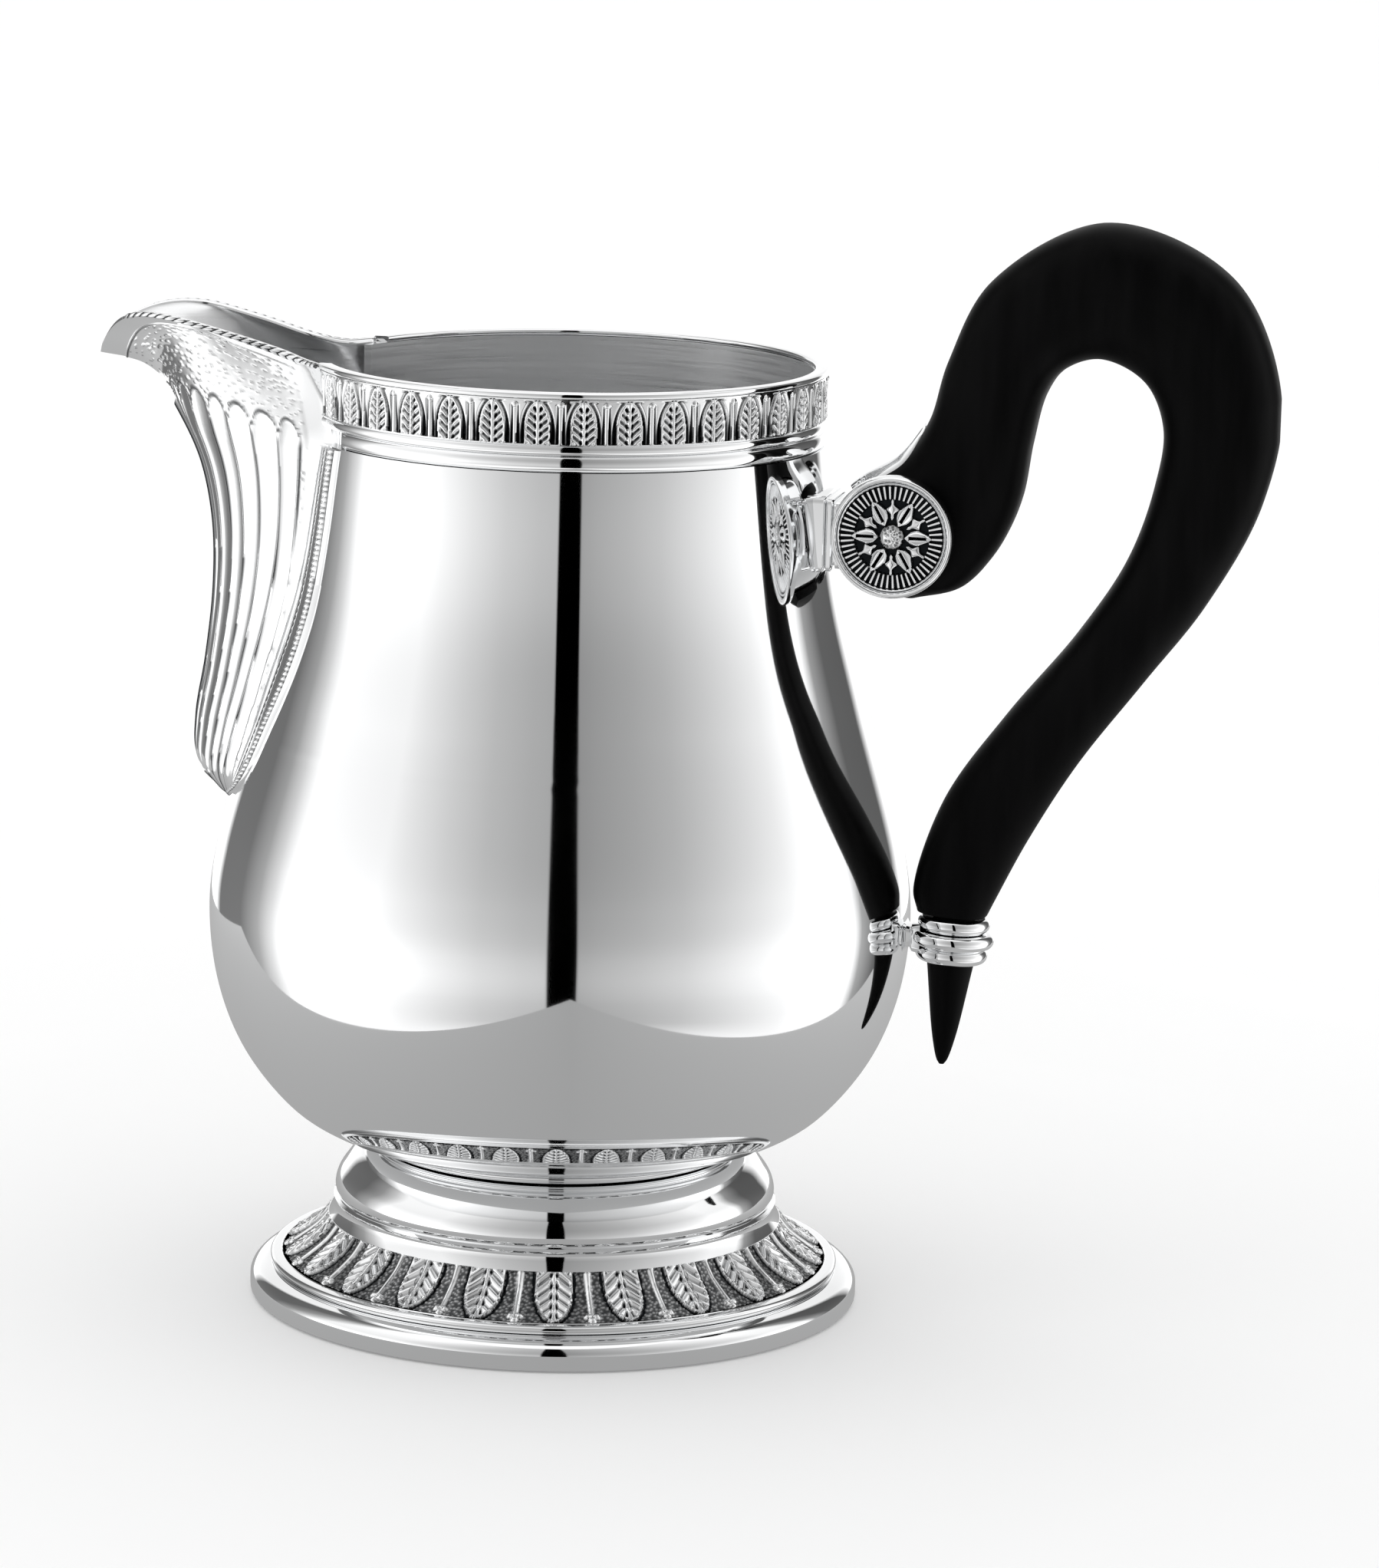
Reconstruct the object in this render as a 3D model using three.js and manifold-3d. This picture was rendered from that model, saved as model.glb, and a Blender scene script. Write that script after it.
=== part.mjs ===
// Silver cream jug on a spreading foot, with a fluted spout and a black wooden handle.
// Millimetres, +Z up.  The handle is on +X and the spout on -X.
// The jug's own axis is vertical.  The origin is under the middle of the whole outline, on the foot's plane.

import * as THREE from 'three';
import { mergeVertices } from 'three/addons/utils/BufferGeometryUtils.js';
import Module from 'manifold-3d';

const wasm = await Module();
wasm.setup();

// ---------------------------------------------------------------- driving dimensions

const handleReach = 80;
const spoutReach = 55;
const axisX = (spoutReach - handleReach) / 2;
const turns = 48; // facets round every spun piece
const gap = 0.3; // clearance where one piece is cut by its neighbour

const wall = 1.2;
const rimZ = 108.1;
const rimRadius = 29.1;
const boreRadius = 27.5;
const wallRadius = 28.3;
const bandLowZ = 99.4;

const footRadius = 35;
const footTopZ = 17.7;
const bodyLowZ = 18.6;

const socket = { x: 38.4, z: 91.1, radius: 6.1, halfLength: 7.2 };
const rosette = { radius: 6.85, thick: 1.8 };
const collar = { x: 45.3, bore: 2.8, lowZ: 41.8, pitch: 1.75, endRadius: 4.1, middleRadius: 4.7, leanDegrees: 3.2 };
const tipLowZ = 29.6;
const stemLowX = 30.9;
const stemHighZ = socket.z + 3.2;

// ---------------------------------------------------------------- materials

const silver = () => new THREE.MeshStandardMaterial({ color: 0xdcddde, roughness: 0.08, metalness: 1 });
const chasedSilver = () => new THREE.MeshStandardMaterial({ color: 0xb9babc, roughness: 0.3, metalness: 1 });
const blackWood = () => new THREE.MeshStandardMaterial({ color: 0x0c0c0d, roughness: 0.5, metalness: 0 });

// ---------------------------------------------------------------- geometry helpers

const at = (x, y, z) => new THREE.Vector3(x, y, z);

// Welds a geometry down to positions, drops flattened triangles and turns the faces outward.
function closed(geometry) {
  const plain = geometry.clone();
  plain.deleteAttribute('normal');
  plain.deleteAttribute('uv');
  const welded = mergeVertices(plain, 1e-4);
  const place = welded.getAttribute('position');
  const corners = [];
  const [a, b, c] = [at(0, 0, 0), at(0, 0, 0), at(0, 0, 0)];
  let volume = 0;
  for (let i = 0; i < welded.index.count; i += 3) {
    const [p, q, r] = [0, 1, 2].map((k) => welded.index.getX(i + k));
    if (p === q || q === r || r === p) continue;
    corners.push(p, q, r);
    volume += a.fromBufferAttribute(place, p).dot(
      b.fromBufferAttribute(place, q).cross(c.fromBufferAttribute(place, r)));
  }
  if (volume < 0) corners.reverse();
  welded.setIndex(corners);
  welded.computeVertexNormals();
  return welded;
}

function toSolid(geometry) {
  const shape = closed(geometry);
  return new wasm.Manifold(new wasm.Mesh({
    numProp: 3,
    vertProperties: Float32Array.from(shape.getAttribute('position').array),
    triVerts: Uint32Array.from(shape.index.array),
  }));
}

function toGeometry(solid) {
  const mesh = solid.getMesh();
  const geometry = new THREE.BufferGeometry();
  geometry.setAttribute('position', new THREE.BufferAttribute(Float32Array.from(mesh.vertProperties), 3));
  geometry.setIndex(new THREE.BufferAttribute(Uint32Array.from(mesh.triVerts), 1));
  return geometry;
}

// What is left of a geometry after each cutter is taken away.
function cut(geometry, ...cutters) {
  return toGeometry(cutters.reduce((left, cutter) => left.subtract(toSolid(cutter)), toSolid(geometry)));
}

// Turns an outline of [radius, height] points about the vertical axis.
function spun(outline, segments = turns) {
  const points = outline.map(([radius, height]) => new THREE.Vector2(radius, height));
  return new THREE.LatheGeometry(points, segments).rotateX(Math.PI / 2);
}

// A spun ring: the outline is closed on itself.
const spunRing = (outline, segments) => spun([...outline, outline[0]], segments);

// Points of an arc in an outline, from one angle to another in degrees.
function arc(x, z, radius, from, to, steps) {
  const points = [];
  for (let i = 0; i <= steps; i += 1) {
    const angle = THREE.MathUtils.degToRad(from + ((to - from) * i) / steps);
    points.push([x + radius * Math.cos(angle), z + radius * Math.sin(angle)]);
  }
  return points;
}

// A smooth curve through a few rows of numbers, read back at any place from 0 to 1.
function smooth(rows) {
  const curve = new THREE.CatmullRomCurve3(rows.map((row) => at(...row)), false, 'centripetal');
  return (place) => curve.getPoint(place).toArray();
}

// Joins two equal grids of points, one each side of a sheet, and closes the four edges.
function sheet(outer, inner) {
  const rows = outer.length;
  const columns = outer[0].length;
  const positions = [...outer.flat(), ...inner.flat()].flatMap((p) => [p.x, p.y, p.z]);
  const faces = [];
  const quad = (a, b, c, d) => faces.push(a, b, c, a, c, d);
  const front = (i, j) => i * columns + j;
  const back = (i, j) => rows * columns + i * columns + j;
  for (let i = 0; i + 1 < rows; i += 1) {
    for (let j = 0; j + 1 < columns; j += 1) {
      quad(front(i, j), front(i, j + 1), front(i + 1, j + 1), front(i + 1, j));
      quad(back(i, j), back(i + 1, j), back(i + 1, j + 1), back(i, j + 1));
    }
    quad(front(i, 0), front(i + 1, 0), back(i + 1, 0), back(i, 0));
    quad(front(i + 1, columns - 1), front(i, columns - 1), back(i, columns - 1), back(i + 1, columns - 1));
  }
  for (let j = 0; j + 1 < columns; j += 1) {
    quad(front(0, j + 1), front(0, j), back(0, j), back(0, j + 1));
    quad(front(rows - 1, j), front(rows - 1, j + 1), back(rows - 1, j + 1), back(rows - 1, j));
  }
  const geometry = new THREE.BufferGeometry();
  geometry.setAttribute('position', new THREE.Float32BufferAttribute(positions, 3));
  geometry.setIndex(faces);
  return geometry;
}

// Skins a row of closed rings and caps both ends with a fan.
function loft(rings) {
  const around = rings[0].length;
  const positions = rings.flat();
  const faces = [];
  for (let i = 0; i + 1 < rings.length; i += 1) {
    for (let j = 0; j < around; j += 1) {
      const k = (j + 1) % around;
      const [a, b, c, d] = [i * around + j, i * around + k, (i + 1) * around + k, (i + 1) * around + j];
      faces.push(a, b, c, a, c, d);
    }
  }
  for (const [ring, first, flip] of [[rings[0], 0, true], [rings.at(-1), (rings.length - 1) * around, false]]) {
    const middle = ring.reduce((sum, p) => sum.add(p), at(0, 0, 0)).divideScalar(around);
    const centre = positions.push(middle) - 1;
    for (let j = 0; j < around; j += 1) {
      const k = (j + 1) % around;
      faces.push(...(flip ? [first + k, first + j, centre] : [first + j, first + k, centre]));
    }
  }
  const geometry = new THREE.BufferGeometry();
  geometry.setAttribute('position', new THREE.Float32BufferAttribute(positions.flatMap((p) => p.toArray()), 3));
  geometry.setIndex(faces);
  return geometry;
}

// A box given by its two corners.
function block(low, high) {
  const size = high.map((value, i) => value - low[i]);
  const middle = high.map((value, i) => (value + low[i]) / 2);
  return new THREE.BoxGeometry(...size).translate(...middle);
}

// A cylinder lying along Y about the socket's centre.
const crossCylinder = (radius, yLow, yHigh, segments = 32) =>
  new THREE.CylinderGeometry(radius, radius, yHigh - yLow, segments)
    .translate(0, (yHigh + yLow) / 2, 0)
    .rotateY(Math.PI / segments)
    .translate(socket.x, 0, socket.z);

// ---------------------------------------------------------------- body

// The pear-shaped outside, from the neck joint up to the wires: [radius, height, 0].
const pear = smooth([
  [27.4, 20.4, 0], [31.1, 22.8, 0], [36.2, 29.2, 0], [39.1, 36.6, 0], [40.1, 45.5, 0],
  [39.05, 53.1, 0], [34.1, 70.6, 0], [30.9, 83.3, 0], [rimRadius, bandLowZ, 0],
]);
const pearSteps = 12;
const pearOutline = Array.from({ length: pearSteps + 1 }, (_, i) => pear(i / pearSteps).slice(0, 2));
const bodyOutside = [[0, bodyLowZ], [21.2, bodyLowZ], ...pearOutline];

// Outside radius of the body at a height.
function bodyRadius(z) {
  const above = pearOutline.findIndex(([, height]) => height > z);
  if (above < 0) return rimRadius;
  if (above === 0) return pearOutline[0][0];
  const [[r0, z0], [r1, z1]] = [pearOutline[above - 1], pearOutline[above]];
  return r0 + ((r1 - r0) * (z - z0)) / (z1 - z0);
}

function bodyShell() {
  const inside = pearOutline.map(([radius, height]) => [radius - wall, Math.max(height, bodyLowZ + 2.6)]);
  return spun([
    ...bodyOutside, [wallRadius, bandLowZ], [wallRadius, rimZ - 0.7], [boreRadius, rimZ - 0.7],
    ...inside.slice(1).reverse(), [25, bodyLowZ + 2.4], [0, bodyLowZ + 1.2],
  ]);
}

// Everything the body and its rim fill, grown outward by the gap, for cutting neighbours.
const bodyEnvelope = () => spun([
  ...bodyOutside.map(([radius, height]) => [radius > 0 ? radius + gap : 0, height]),
  [rimRadius + gap, bandLowZ], [rimRadius + gap, rimZ + 10], [0, rimZ + 10],
]);

// ---------------------------------------------------------------- rim

function rimPieces() {
  const band = (low, high, radius) => spunRing([
    [wallRadius, low], [radius - 0.25, low], [radius, low + 0.25], [radius, high - 0.25],
    [radius - 0.25, high], [wallRadius, high],
  ]);
  return {
    rim_reed_lower: band(bandLowZ, bandLowZ + 1.8, rimRadius),
    rim_reed_upper: band(bandLowZ + 1.8, bandLowZ + 3.0, rimRadius - 0.1),
    rim_leaf_band: band(bandLowZ + 3.0, rimZ - 0.7, rimRadius - 0.1),
    rim_top_wire: spunRing([
      [boreRadius, rimZ - 0.7], [rimRadius, rimZ - 0.7], [rimRadius, rimZ - 0.5], [rimRadius - 0.2, rimZ - 0.2],
      [rimRadius - 0.6, rimZ], [boreRadius + 0.2, rimZ], [boreRadius, rimZ - 0.2],
    ]),
  };
}

// ---------------------------------------------------------------- spout

// [height, ridge distance from the axis, half-width on the body], from the toe to the beak.
const spoutRows = smooth([
  [57.0, 38.3, 8.5], [58.3, 40.1, 11.0], [60.6, 42.4, 12.4], [65.0, 42.6, 13.4], [72.0, 41.5, 13.8],
  [80.0, 40.7, 14.2], [88.0, 40.8, 14.8], [94.5, 42.1, 15.2], [99.5, 44.4, 15.4], [102.9, 46.8, 15.4],
  [104.9, 49.8, 15.2], [105.7, spoutReach, 14.9],
]);
// The lip's edge from the beak back to the rim: [distance from the axis, half-width, height].
const lipPath = new THREE.CatmullRomCurve3([
  at(spoutReach, 0, 105.7), at(54.4, 1.1, 107.0), at(52.3, 3.2, 109.4), at(49.0, 6.1, 110.8), at(45.0, 8.0, 110.9),
  at(38.0, 8.2, 109.4), at(31.5, 8.1, 107.6), at(28.5, 9.8, 106.9), at(25.9, 13.0, 106.8),
], false, 'centripetal');
const spoutWall = 1.2;
const lipStart = 0.7; // where up the spout the sections begin to turn into the lip
const keelPower = 1.7; // over 1 draws the half oval out into a keel

// Half an oval, drawn out to a keel, across the spout at one place up it.
function spoutSection(across, up, inset) {
  const [height, ridge, halfWidth] = spoutRows(up);
  const width = halfWidth - inset;
  const root = Math.sqrt(bodyRadius(height) ** 2 - width ** 2) - 1.5;
  const turn = (across * Math.PI) / 2;
  return at(root + (ridge - inset - root) * Math.max(Math.cos(turn), 0) ** keelPower, width * Math.sin(turn), height);
}

// A point of the lip, set in toward the middle of the channel.
function lipPoint(across, inset) {
  const point = lipPath.getPointAt(Math.abs(across));
  const inward = Math.min(Math.abs(across) * 6, 1);
  return at(point.x - inset * (1 - inward), Math.sign(across) * (point.y - inset * inward), point.z);
}

// A point of the spout: across from -1 to 1, up from 0 to 1, set in from the outside.
function spoutPoint(across, up, inset) {
  const toLip = THREE.MathUtils.smoothstep(up, lipStart, 1);
  const lift = lipPoint(across, inset).sub(spoutSection(across, 1, inset)).multiplyScalar(toLip);
  const point = spoutSection(across, up, inset).add(lift);
  return at(-point.x, point.y, point.z);
}

function spoutGrid(inset) {
  const [rows, columns] = [20, 20];
  return Array.from({ length: rows + 1 }, (_, i) =>
    Array.from({ length: columns + 1 }, (_, j) => spoutPoint((2 * j) / columns - 1, i / rows, inset)));
}

// An upright prism behind the spout: [half-width, height] points, cut right through the wall.
function mouthCutter(outline) {
  const points = [...outline, ...outline.map(([y, z]) => [-y, z]).reverse()];
  const shape = new THREE.Shape(points.map(([y, z]) => new THREE.Vector2(y, z)));
  const [near, far] = [12, 60];
  return new THREE.ExtrudeGeometry(shape, { depth: far - near, bevelEnabled: false })
    .rotateX(Math.PI / 2)
    .rotateZ(Math.PI / 2)
    .translate(-far, 0, 0);
}

const pourOpening = () => mouthCutter([[1.5, 66], [7.0, 74], [9.4, 86], [10, 96], [10, rimZ + 4]]);
// Half the width of the break that each ring of the rim leaves for the spout.
const bandBreaks = { rim_reed_lower: 19.6, rim_reed_upper: 15.6, rim_leaf_band: 15.6, rim_top_wire: 13.4 };
const bandBreak = (halfWidth) => mouthCutter([[halfWidth, bandLowZ - 1], [halfWidth, rimZ + 4]]);

// The outer edge of the strip beside the spout: [half-width, height, 0], from the toe to the rim.
const stripEdge = smooth([
  [12.6, 58.5, 0], [15.6, 60.0, 0], [17.4, 62.8, 0], [18.4, 67, 0], [19.6, 73, 0], [19.7, 79, 0], [19.3, 86, 0],
  [19.3, 92, 0], [19.3, bandLowZ - gap, 0],
]);

// A strip that runs up beside the spout where it meets the body, one each side.
function edgeStrip(side) {
  const [steps, proud, innerLow, innerHigh] = [18, 0.9, 11.6, 15.8];
  const grid = (lift) => Array.from({ length: steps + 1 }, (_, i) => {
    const [outerY, z] = stripEdge(i / steps);
    const innerY = THREE.MathUtils.lerp(innerLow, innerHigh, Math.sqrt(i / steps));
    const radius = bodyRadius(z) + gap + lift;
    return [0, 0.5, 1].map((edge) => {
      const y = THREE.MathUtils.lerp(innerY, outerY, edge);
      return at(-Math.sqrt(radius ** 2 - y ** 2), side * y, z);
    });
  });
  return sheet(grid(proud), grid(0));
}

function lipWire() {
  const [steps, thick] = [20, 0.45];
  const points = Array.from({ length: 2 * steps + 1 }, (_, i) => {
    const across = i / steps - 1;
    const point = lipPoint(across * 0.96, spoutWall / 2);
    return at(-point.x, point.y, point.z + thick + gap);
  });
  const path = new THREE.CatmullRomCurve3(points);
  const section = new THREE.Shape(arc(0, 0, thick, 0, 300, 5).map(([x, y]) => new THREE.Vector2(x, y)));
  return new THREE.ExtrudeGeometry(section, { steps: 32, extrudePath: path, bevelEnabled: false });
}

// ---------------------------------------------------------------- foot

function footPieces() {
  return {
    neck_ring: spunRing([[16.5, footTopZ], [20.7, footTopZ], [21.2, (footTopZ + bodyLowZ) / 2], [20.8, bodyLowZ], [16.5, bodyLowZ]]),
    foot_dome: spunRing([
      [24.5, 11.4], [23.9, 13.0], [22.0, 15.4], [20.1, footTopZ],
      [16.5, footTopZ], [16.5, footTopZ - 1.2], [19.3, 15.4], [21.7, 13.8], [23.2, 11.4],
    ]),
    foot_fillet: spunRing([[23.2, 10.2], [25.2, 10.2], [25.5, 10.5], [25.1, 11.0], [24.5, 11.4], [23.2, 11.4]]),
    foot_leaf_band: spunRing([
      [31.5, 4.5], [29.2, 6.0], [26.6, 8.1], [25.1, 10.2], [23.8, 10.2], [25.8, 7.5], [30.0, 4.5],
    ]),
    foot_bead: spunRing([[30.0, 3.5], [32.4, 3.5], [32.7, 4.0], [32.4, 4.5], [30.0, 4.5]]),
    foot_ring: spunRing([
      [32.2, 0], [34.8, 0], [footRadius, 0.3], [footRadius, 2.0], [34.4, 2.9], [33.2, 3.5], [30.0, 3.5],
      [30.2, 2.5],
    ]),
  };
}

// ---------------------------------------------------------------- handle

// The handle's flat outline as pairs across it, from the socket end, over the loop, down to the collar:
// [outer x, outer z, inner x, inner z, depth].
const handlePairs = [
  [36.6, 84.5, 40.6, 83.5, 9.0], [34.0, 86.6, 45.4, 84.8, 11.6], [32.4, 90.4, 48.4, 87.9, 12.4],
  [32.8, 94.9, 50.4, 91.4, 12.4], [38.4, 99.0, 51.8, 95.4, 12.4], [41.2, 103.5, 52.7, 101.2, 12.4],
  [43.1, 110.2, 54.1, 106.9, 12.4], [47.7, 119.3, 56.2, 109.8, 12.4], [60.2, 126.1, 60.2, 111.1, 12.4],
  [74.4, 120.4, 65.1, 108.8, 12.4], [handleReach, 107.5, 67.3, 103.9, 12.2], [78.5, 95.5, 66.6, 97.3, 11.8],
  [72.8, 84.1, 63.9, 89.0, 11.2], [66.1, 74.9, 58.6, 80.4, 10.5], [59.0, 65.2, 50.8, 70.5, 9.9],
  [53.7, 56.2, 44.1, 60.5, 9.3], [50.1, 48.9, 40.9, 50.1, 8.3], [49.3, 47.2, 41.4, 47.7, 7.6],
];
const tenonRadius = collar.bore - gap;
// The collar and the tip below it lean a little, their foot toward the body.
const collarPlace = new THREE.Matrix4()
  .makeTranslation(collar.x, 0, collar.lowZ)
  .multiply(new THREE.Matrix4().makeRotationY(THREE.MathUtils.degToRad(collar.leanDegrees)));

function handleRing(outer, inner, depth, around = 16) {
  const middle = outer.clone().add(inner).multiplyScalar(0.5);
  const half = outer.clone().sub(inner).multiplyScalar(0.5);
  return Array.from({ length: around }, (_, j) => {
    const angle = (j * 2 * Math.PI) / around;
    const squareness = 0.85; // under 1 fills the corners of the oval
    const [c, s] = [Math.cos(angle), Math.sin(angle)].map((v) => Math.sign(v) * Math.abs(v) ** squareness);
    return middle.clone().addScaledVector(half, c).add(at(0, (depth / 2) * s, 0));
  });
}

const handleOuter = new THREE.CatmullRomCurve3(handlePairs.map(([x, z]) => at(x, 0, z)), false, 'centripetal');

function handleGrip() {
  const inner = new THREE.CatmullRomCurve3(handlePairs.map(([, , x, z]) => at(x, 0, z)), false, 'centripetal');
  const depth = smooth(handlePairs.map((row, i) => [row[4], i, 0]));
  const stations = 3 * (handlePairs.length - 1);
  const rings = Array.from({ length: stations + 1 }, (_, i) =>
    handleRing(handleOuter.getPoint(i / stations), inner.getPoint(i / stations), depth(i / stations)[0]));
  for (const height of [3 * collar.pitch + gap, -0.2]) {
    const edge = (side) => at(side * tenonRadius, 0, height).applyMatrix4(collarPlace);
    rings.push(handleRing(edge(1), edge(-1), 2 * tenonRadius));
  }
  const besideStem = block([20, -20, 70], [socket.x - 0.2, 20, stemHighZ + gap]);
  return cut(loft(rings), crossCylinder(socket.radius + gap, -20, 20), besideStem);
}

function handleTip() {
  const [top, low] = [-0.5, tipLowZ - collar.lowZ];
  return spun([[0, low], [0.7, low + 0.5], [1.5, low + 4.5], [2.6, top - 0.4], [2.6, top], [0, top]], 20)
    .applyMatrix4(collarPlace);
}

// The silver tongue that lies along the back of the handle above the stem, bent round the wood.
function strap() {
  const [steps, thick, halfWidth, first, last] = [8, 0.8, 3.4, 3.1, 4.85];
  const grid = (lift) => Array.from({ length: steps + 1 }, (_, i) => {
    const place = THREE.MathUtils.lerp(first, last, i / steps) / (handlePairs.length - 1);
    const along = handleOuter.getTangent(place);
    const outward = at(-along.z, 0, along.x);
    const width = halfWidth * Math.sqrt(1 - (0.95 * i / steps) ** 3);
    return [-1, -0.5, 0, 0.5, 1].map((side) => {
      const y = side * width;
      const off = gap + lift - y ** 2 / 17;
      return handleOuter.getPoint(place).add(at(0, y, 0)).addScaledVector(outward, off);
    });
  });
  return sheet(grid(thick), grid(0));
}

function stemPieces() {
  const [low, high] = [socket.z - 4.4, stemHighZ];
  const stem = block([stemLowX, -5.6, low], [socket.x, 5.6, high]);
  const flange = block([26, -6, low - 0.3], [stemLowX - 0.05, 6, high + 0.3]);
  return {
    stem: cut(stem, crossCylinder(socket.radius + gap, -20, 20)),
    stem_flange: cut(flange, bodyEnvelope()),
  };
}

function rosetteDisc(side) {
  const inner = side * socket.halfLength;
  const outline = [
    [0, 0], [rosette.radius, 0], [rosette.radius, 1.1], [rosette.radius - 0.5, rosette.thick],
    [rosette.radius - 1.2, 1.2], [2.2, 1.2], [1.6, rosette.thick], [0, rosette.thick + 0.2],
  ];
  return spun(outline, 32).rotateX((-side * Math.PI) / 2).translate(socket.x, inner, socket.z);
}

// ---------------------------------------------------------------- collar

function collarPieces() {
  const { bore, pitch } = collar;
  const ring = (index, radius) => spunRing([
    [bore, 0.02], [radius - 0.35, 0.02], [radius, 0.35], [radius, pitch - 0.37],
    [radius - 0.35, pitch - 0.02], [bore, pitch - 0.02],
  ], 24).translate(0, 0, index * pitch).applyMatrix4(collarPlace);
  const middleZ = collar.lowZ + 1.5 * pitch;
  const keepOut = new THREE.CylinderGeometry(collar.middleRadius + gap, collar.middleRadius + gap, 20, 24)
    .rotateX(Math.PI / 2)
    .applyMatrix4(collarPlace);
  return {
    collar_ring_lower: ring(0, collar.endRadius),
    collar_ring_middle: ring(1, collar.middleRadius),
    collar_ring_upper: ring(2, collar.endRadius),
    collar_bridge: cut(block([38, -2.4, middleZ - 1.9], [42.2, 2.4, middleZ + 1.9]), bodyEnvelope(), keepOut),
  };
}

// ---------------------------------------------------------------- assembly

const jug = new THREE.Group();
jug.position.x = axisX;

function place(name, geometry, material) {
  const mesh = new THREE.Mesh(closed(geometry), material);
  mesh.name = name;
  jug.add(mesh);
}

place('body_shell', cut(bodyShell(), pourOpening()), silver());
for (const [name, geometry] of Object.entries(rimPieces())) {
  const material = name === 'rim_leaf_band' ? chasedSilver() : silver();
  place(name, cut(geometry, bandBreak(bandBreaks[name])), material);
}
place('spout', cut(sheet(spoutGrid(0), spoutGrid(spoutWall)), bodyEnvelope()), chasedSilver());
place('spout_lip_wire', lipWire(), silver());
place('spout_strip_left', edgeStrip(-1), chasedSilver());
place('spout_strip_right', edgeStrip(1), chasedSilver());
for (const [name, geometry] of Object.entries(footPieces())) {
  place(name, geometry, name === 'foot_leaf_band' ? chasedSilver() : silver());
}
const stem = stemPieces();
place('stem_flange', stem.stem_flange, silver());
place('handle_stem', stem.stem, silver());
place('socket_barrel', crossCylinder(socket.radius, -socket.halfLength + 0.02, socket.halfLength - 0.02), silver());
place('rosette_front', rosetteDisc(-1), chasedSilver());
place('rosette_back', rosetteDisc(1), chasedSilver());
place('handle_strap', strap(), silver());
place('handle', handleGrip(), blackWood());
place('handle_tip', handleTip(), blackWood());
for (const [name, geometry] of Object.entries(collarPieces())) {
  place(name, geometry, silver());
}

const root = new THREE.Group();
root.add(jug);
export default root;
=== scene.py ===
import math

import bmesh
import bpy
import numpy as np
from mathutils import Matrix, Vector


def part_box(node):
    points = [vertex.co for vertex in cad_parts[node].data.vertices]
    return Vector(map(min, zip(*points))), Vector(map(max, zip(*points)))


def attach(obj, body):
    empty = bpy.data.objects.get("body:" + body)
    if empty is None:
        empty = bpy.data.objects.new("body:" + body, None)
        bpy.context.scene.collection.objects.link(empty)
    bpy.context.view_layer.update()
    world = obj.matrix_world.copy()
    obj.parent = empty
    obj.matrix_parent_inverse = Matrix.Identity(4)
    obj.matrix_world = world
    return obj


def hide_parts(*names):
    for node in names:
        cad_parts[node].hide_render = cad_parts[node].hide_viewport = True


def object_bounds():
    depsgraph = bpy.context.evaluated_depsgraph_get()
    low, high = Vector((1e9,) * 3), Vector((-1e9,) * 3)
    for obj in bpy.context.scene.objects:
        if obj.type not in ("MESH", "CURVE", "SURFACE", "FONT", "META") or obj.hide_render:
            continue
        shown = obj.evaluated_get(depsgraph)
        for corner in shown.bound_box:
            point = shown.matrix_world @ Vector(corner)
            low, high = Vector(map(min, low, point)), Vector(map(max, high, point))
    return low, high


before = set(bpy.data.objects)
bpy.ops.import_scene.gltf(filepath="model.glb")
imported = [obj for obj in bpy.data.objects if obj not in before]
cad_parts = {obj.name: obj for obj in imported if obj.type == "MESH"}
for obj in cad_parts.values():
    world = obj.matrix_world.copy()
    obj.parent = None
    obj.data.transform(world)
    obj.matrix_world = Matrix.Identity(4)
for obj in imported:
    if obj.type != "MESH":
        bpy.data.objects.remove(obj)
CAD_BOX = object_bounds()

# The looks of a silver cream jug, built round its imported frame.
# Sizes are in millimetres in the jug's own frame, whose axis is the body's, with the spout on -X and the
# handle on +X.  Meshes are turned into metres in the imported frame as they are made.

MM = 0.001
WELD = 2e-7  # metres


def low(node, axis=2):
    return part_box(node)[0][axis] / MM


def high(node, axis=2):
    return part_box(node)[1][axis] / MM


# ------------------------------------------------------------------ driving sizes

AXIS_X = (low("foot_ring", 0) + high("foot_ring", 0)) / 2
SPOUT_REACH = AXIS_X - CAD_BOX[0][0] / MM
HANDLE_REACH = CAD_BOX[1][0] / MM - AXIS_X
FOOT_RADIUS = high("foot_ring", 1)
RIM_RADIUS = high("rim_reed_lower", 1)
RIM_Z = high("rim_top_wire")
BAND_LOW = low("rim_reed_lower")
REED_TOP = high("rim_reed_lower")
LEAF_LOW = low("rim_leaf_band")
LEAF_HIGH = high("rim_leaf_band")
BODY_LOW = low("body_shell")
FOOT_TOP = high("foot_dome")
BORE_RADIUS = RIM_RADIUS - 1.6
WALL_RADIUS = RIM_RADIUS - 0.8
WALL = 1.2
TURNS = 288

SOCKET = Vector((
    (low("socket_barrel", 0) + high("socket_barrel", 0)) / 2 - AXIS_X, 0,
    (low("socket_barrel") + high("socket_barrel")) / 2,
))
BARREL_RADIUS = (high("socket_barrel") - low("socket_barrel")) / 2
BARREL_HALF = high("socket_barrel", 1)
ROSETTE_RADIUS = (high("rosette_front") - low("rosette_front")) / 2
ROSETTE_THICK = 2.0
ROSETTE_FLUTES = 54

COLLAR = Vector((45.3, 0, 41.8))
COLLAR_LEAN = math.radians(3.2)
COLLAR_PITCH = 1.75
TIP_LENGTH = COLLAR.z - low("handle_tip")

# ------------------------------------------------------------------ curves and outlines


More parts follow.
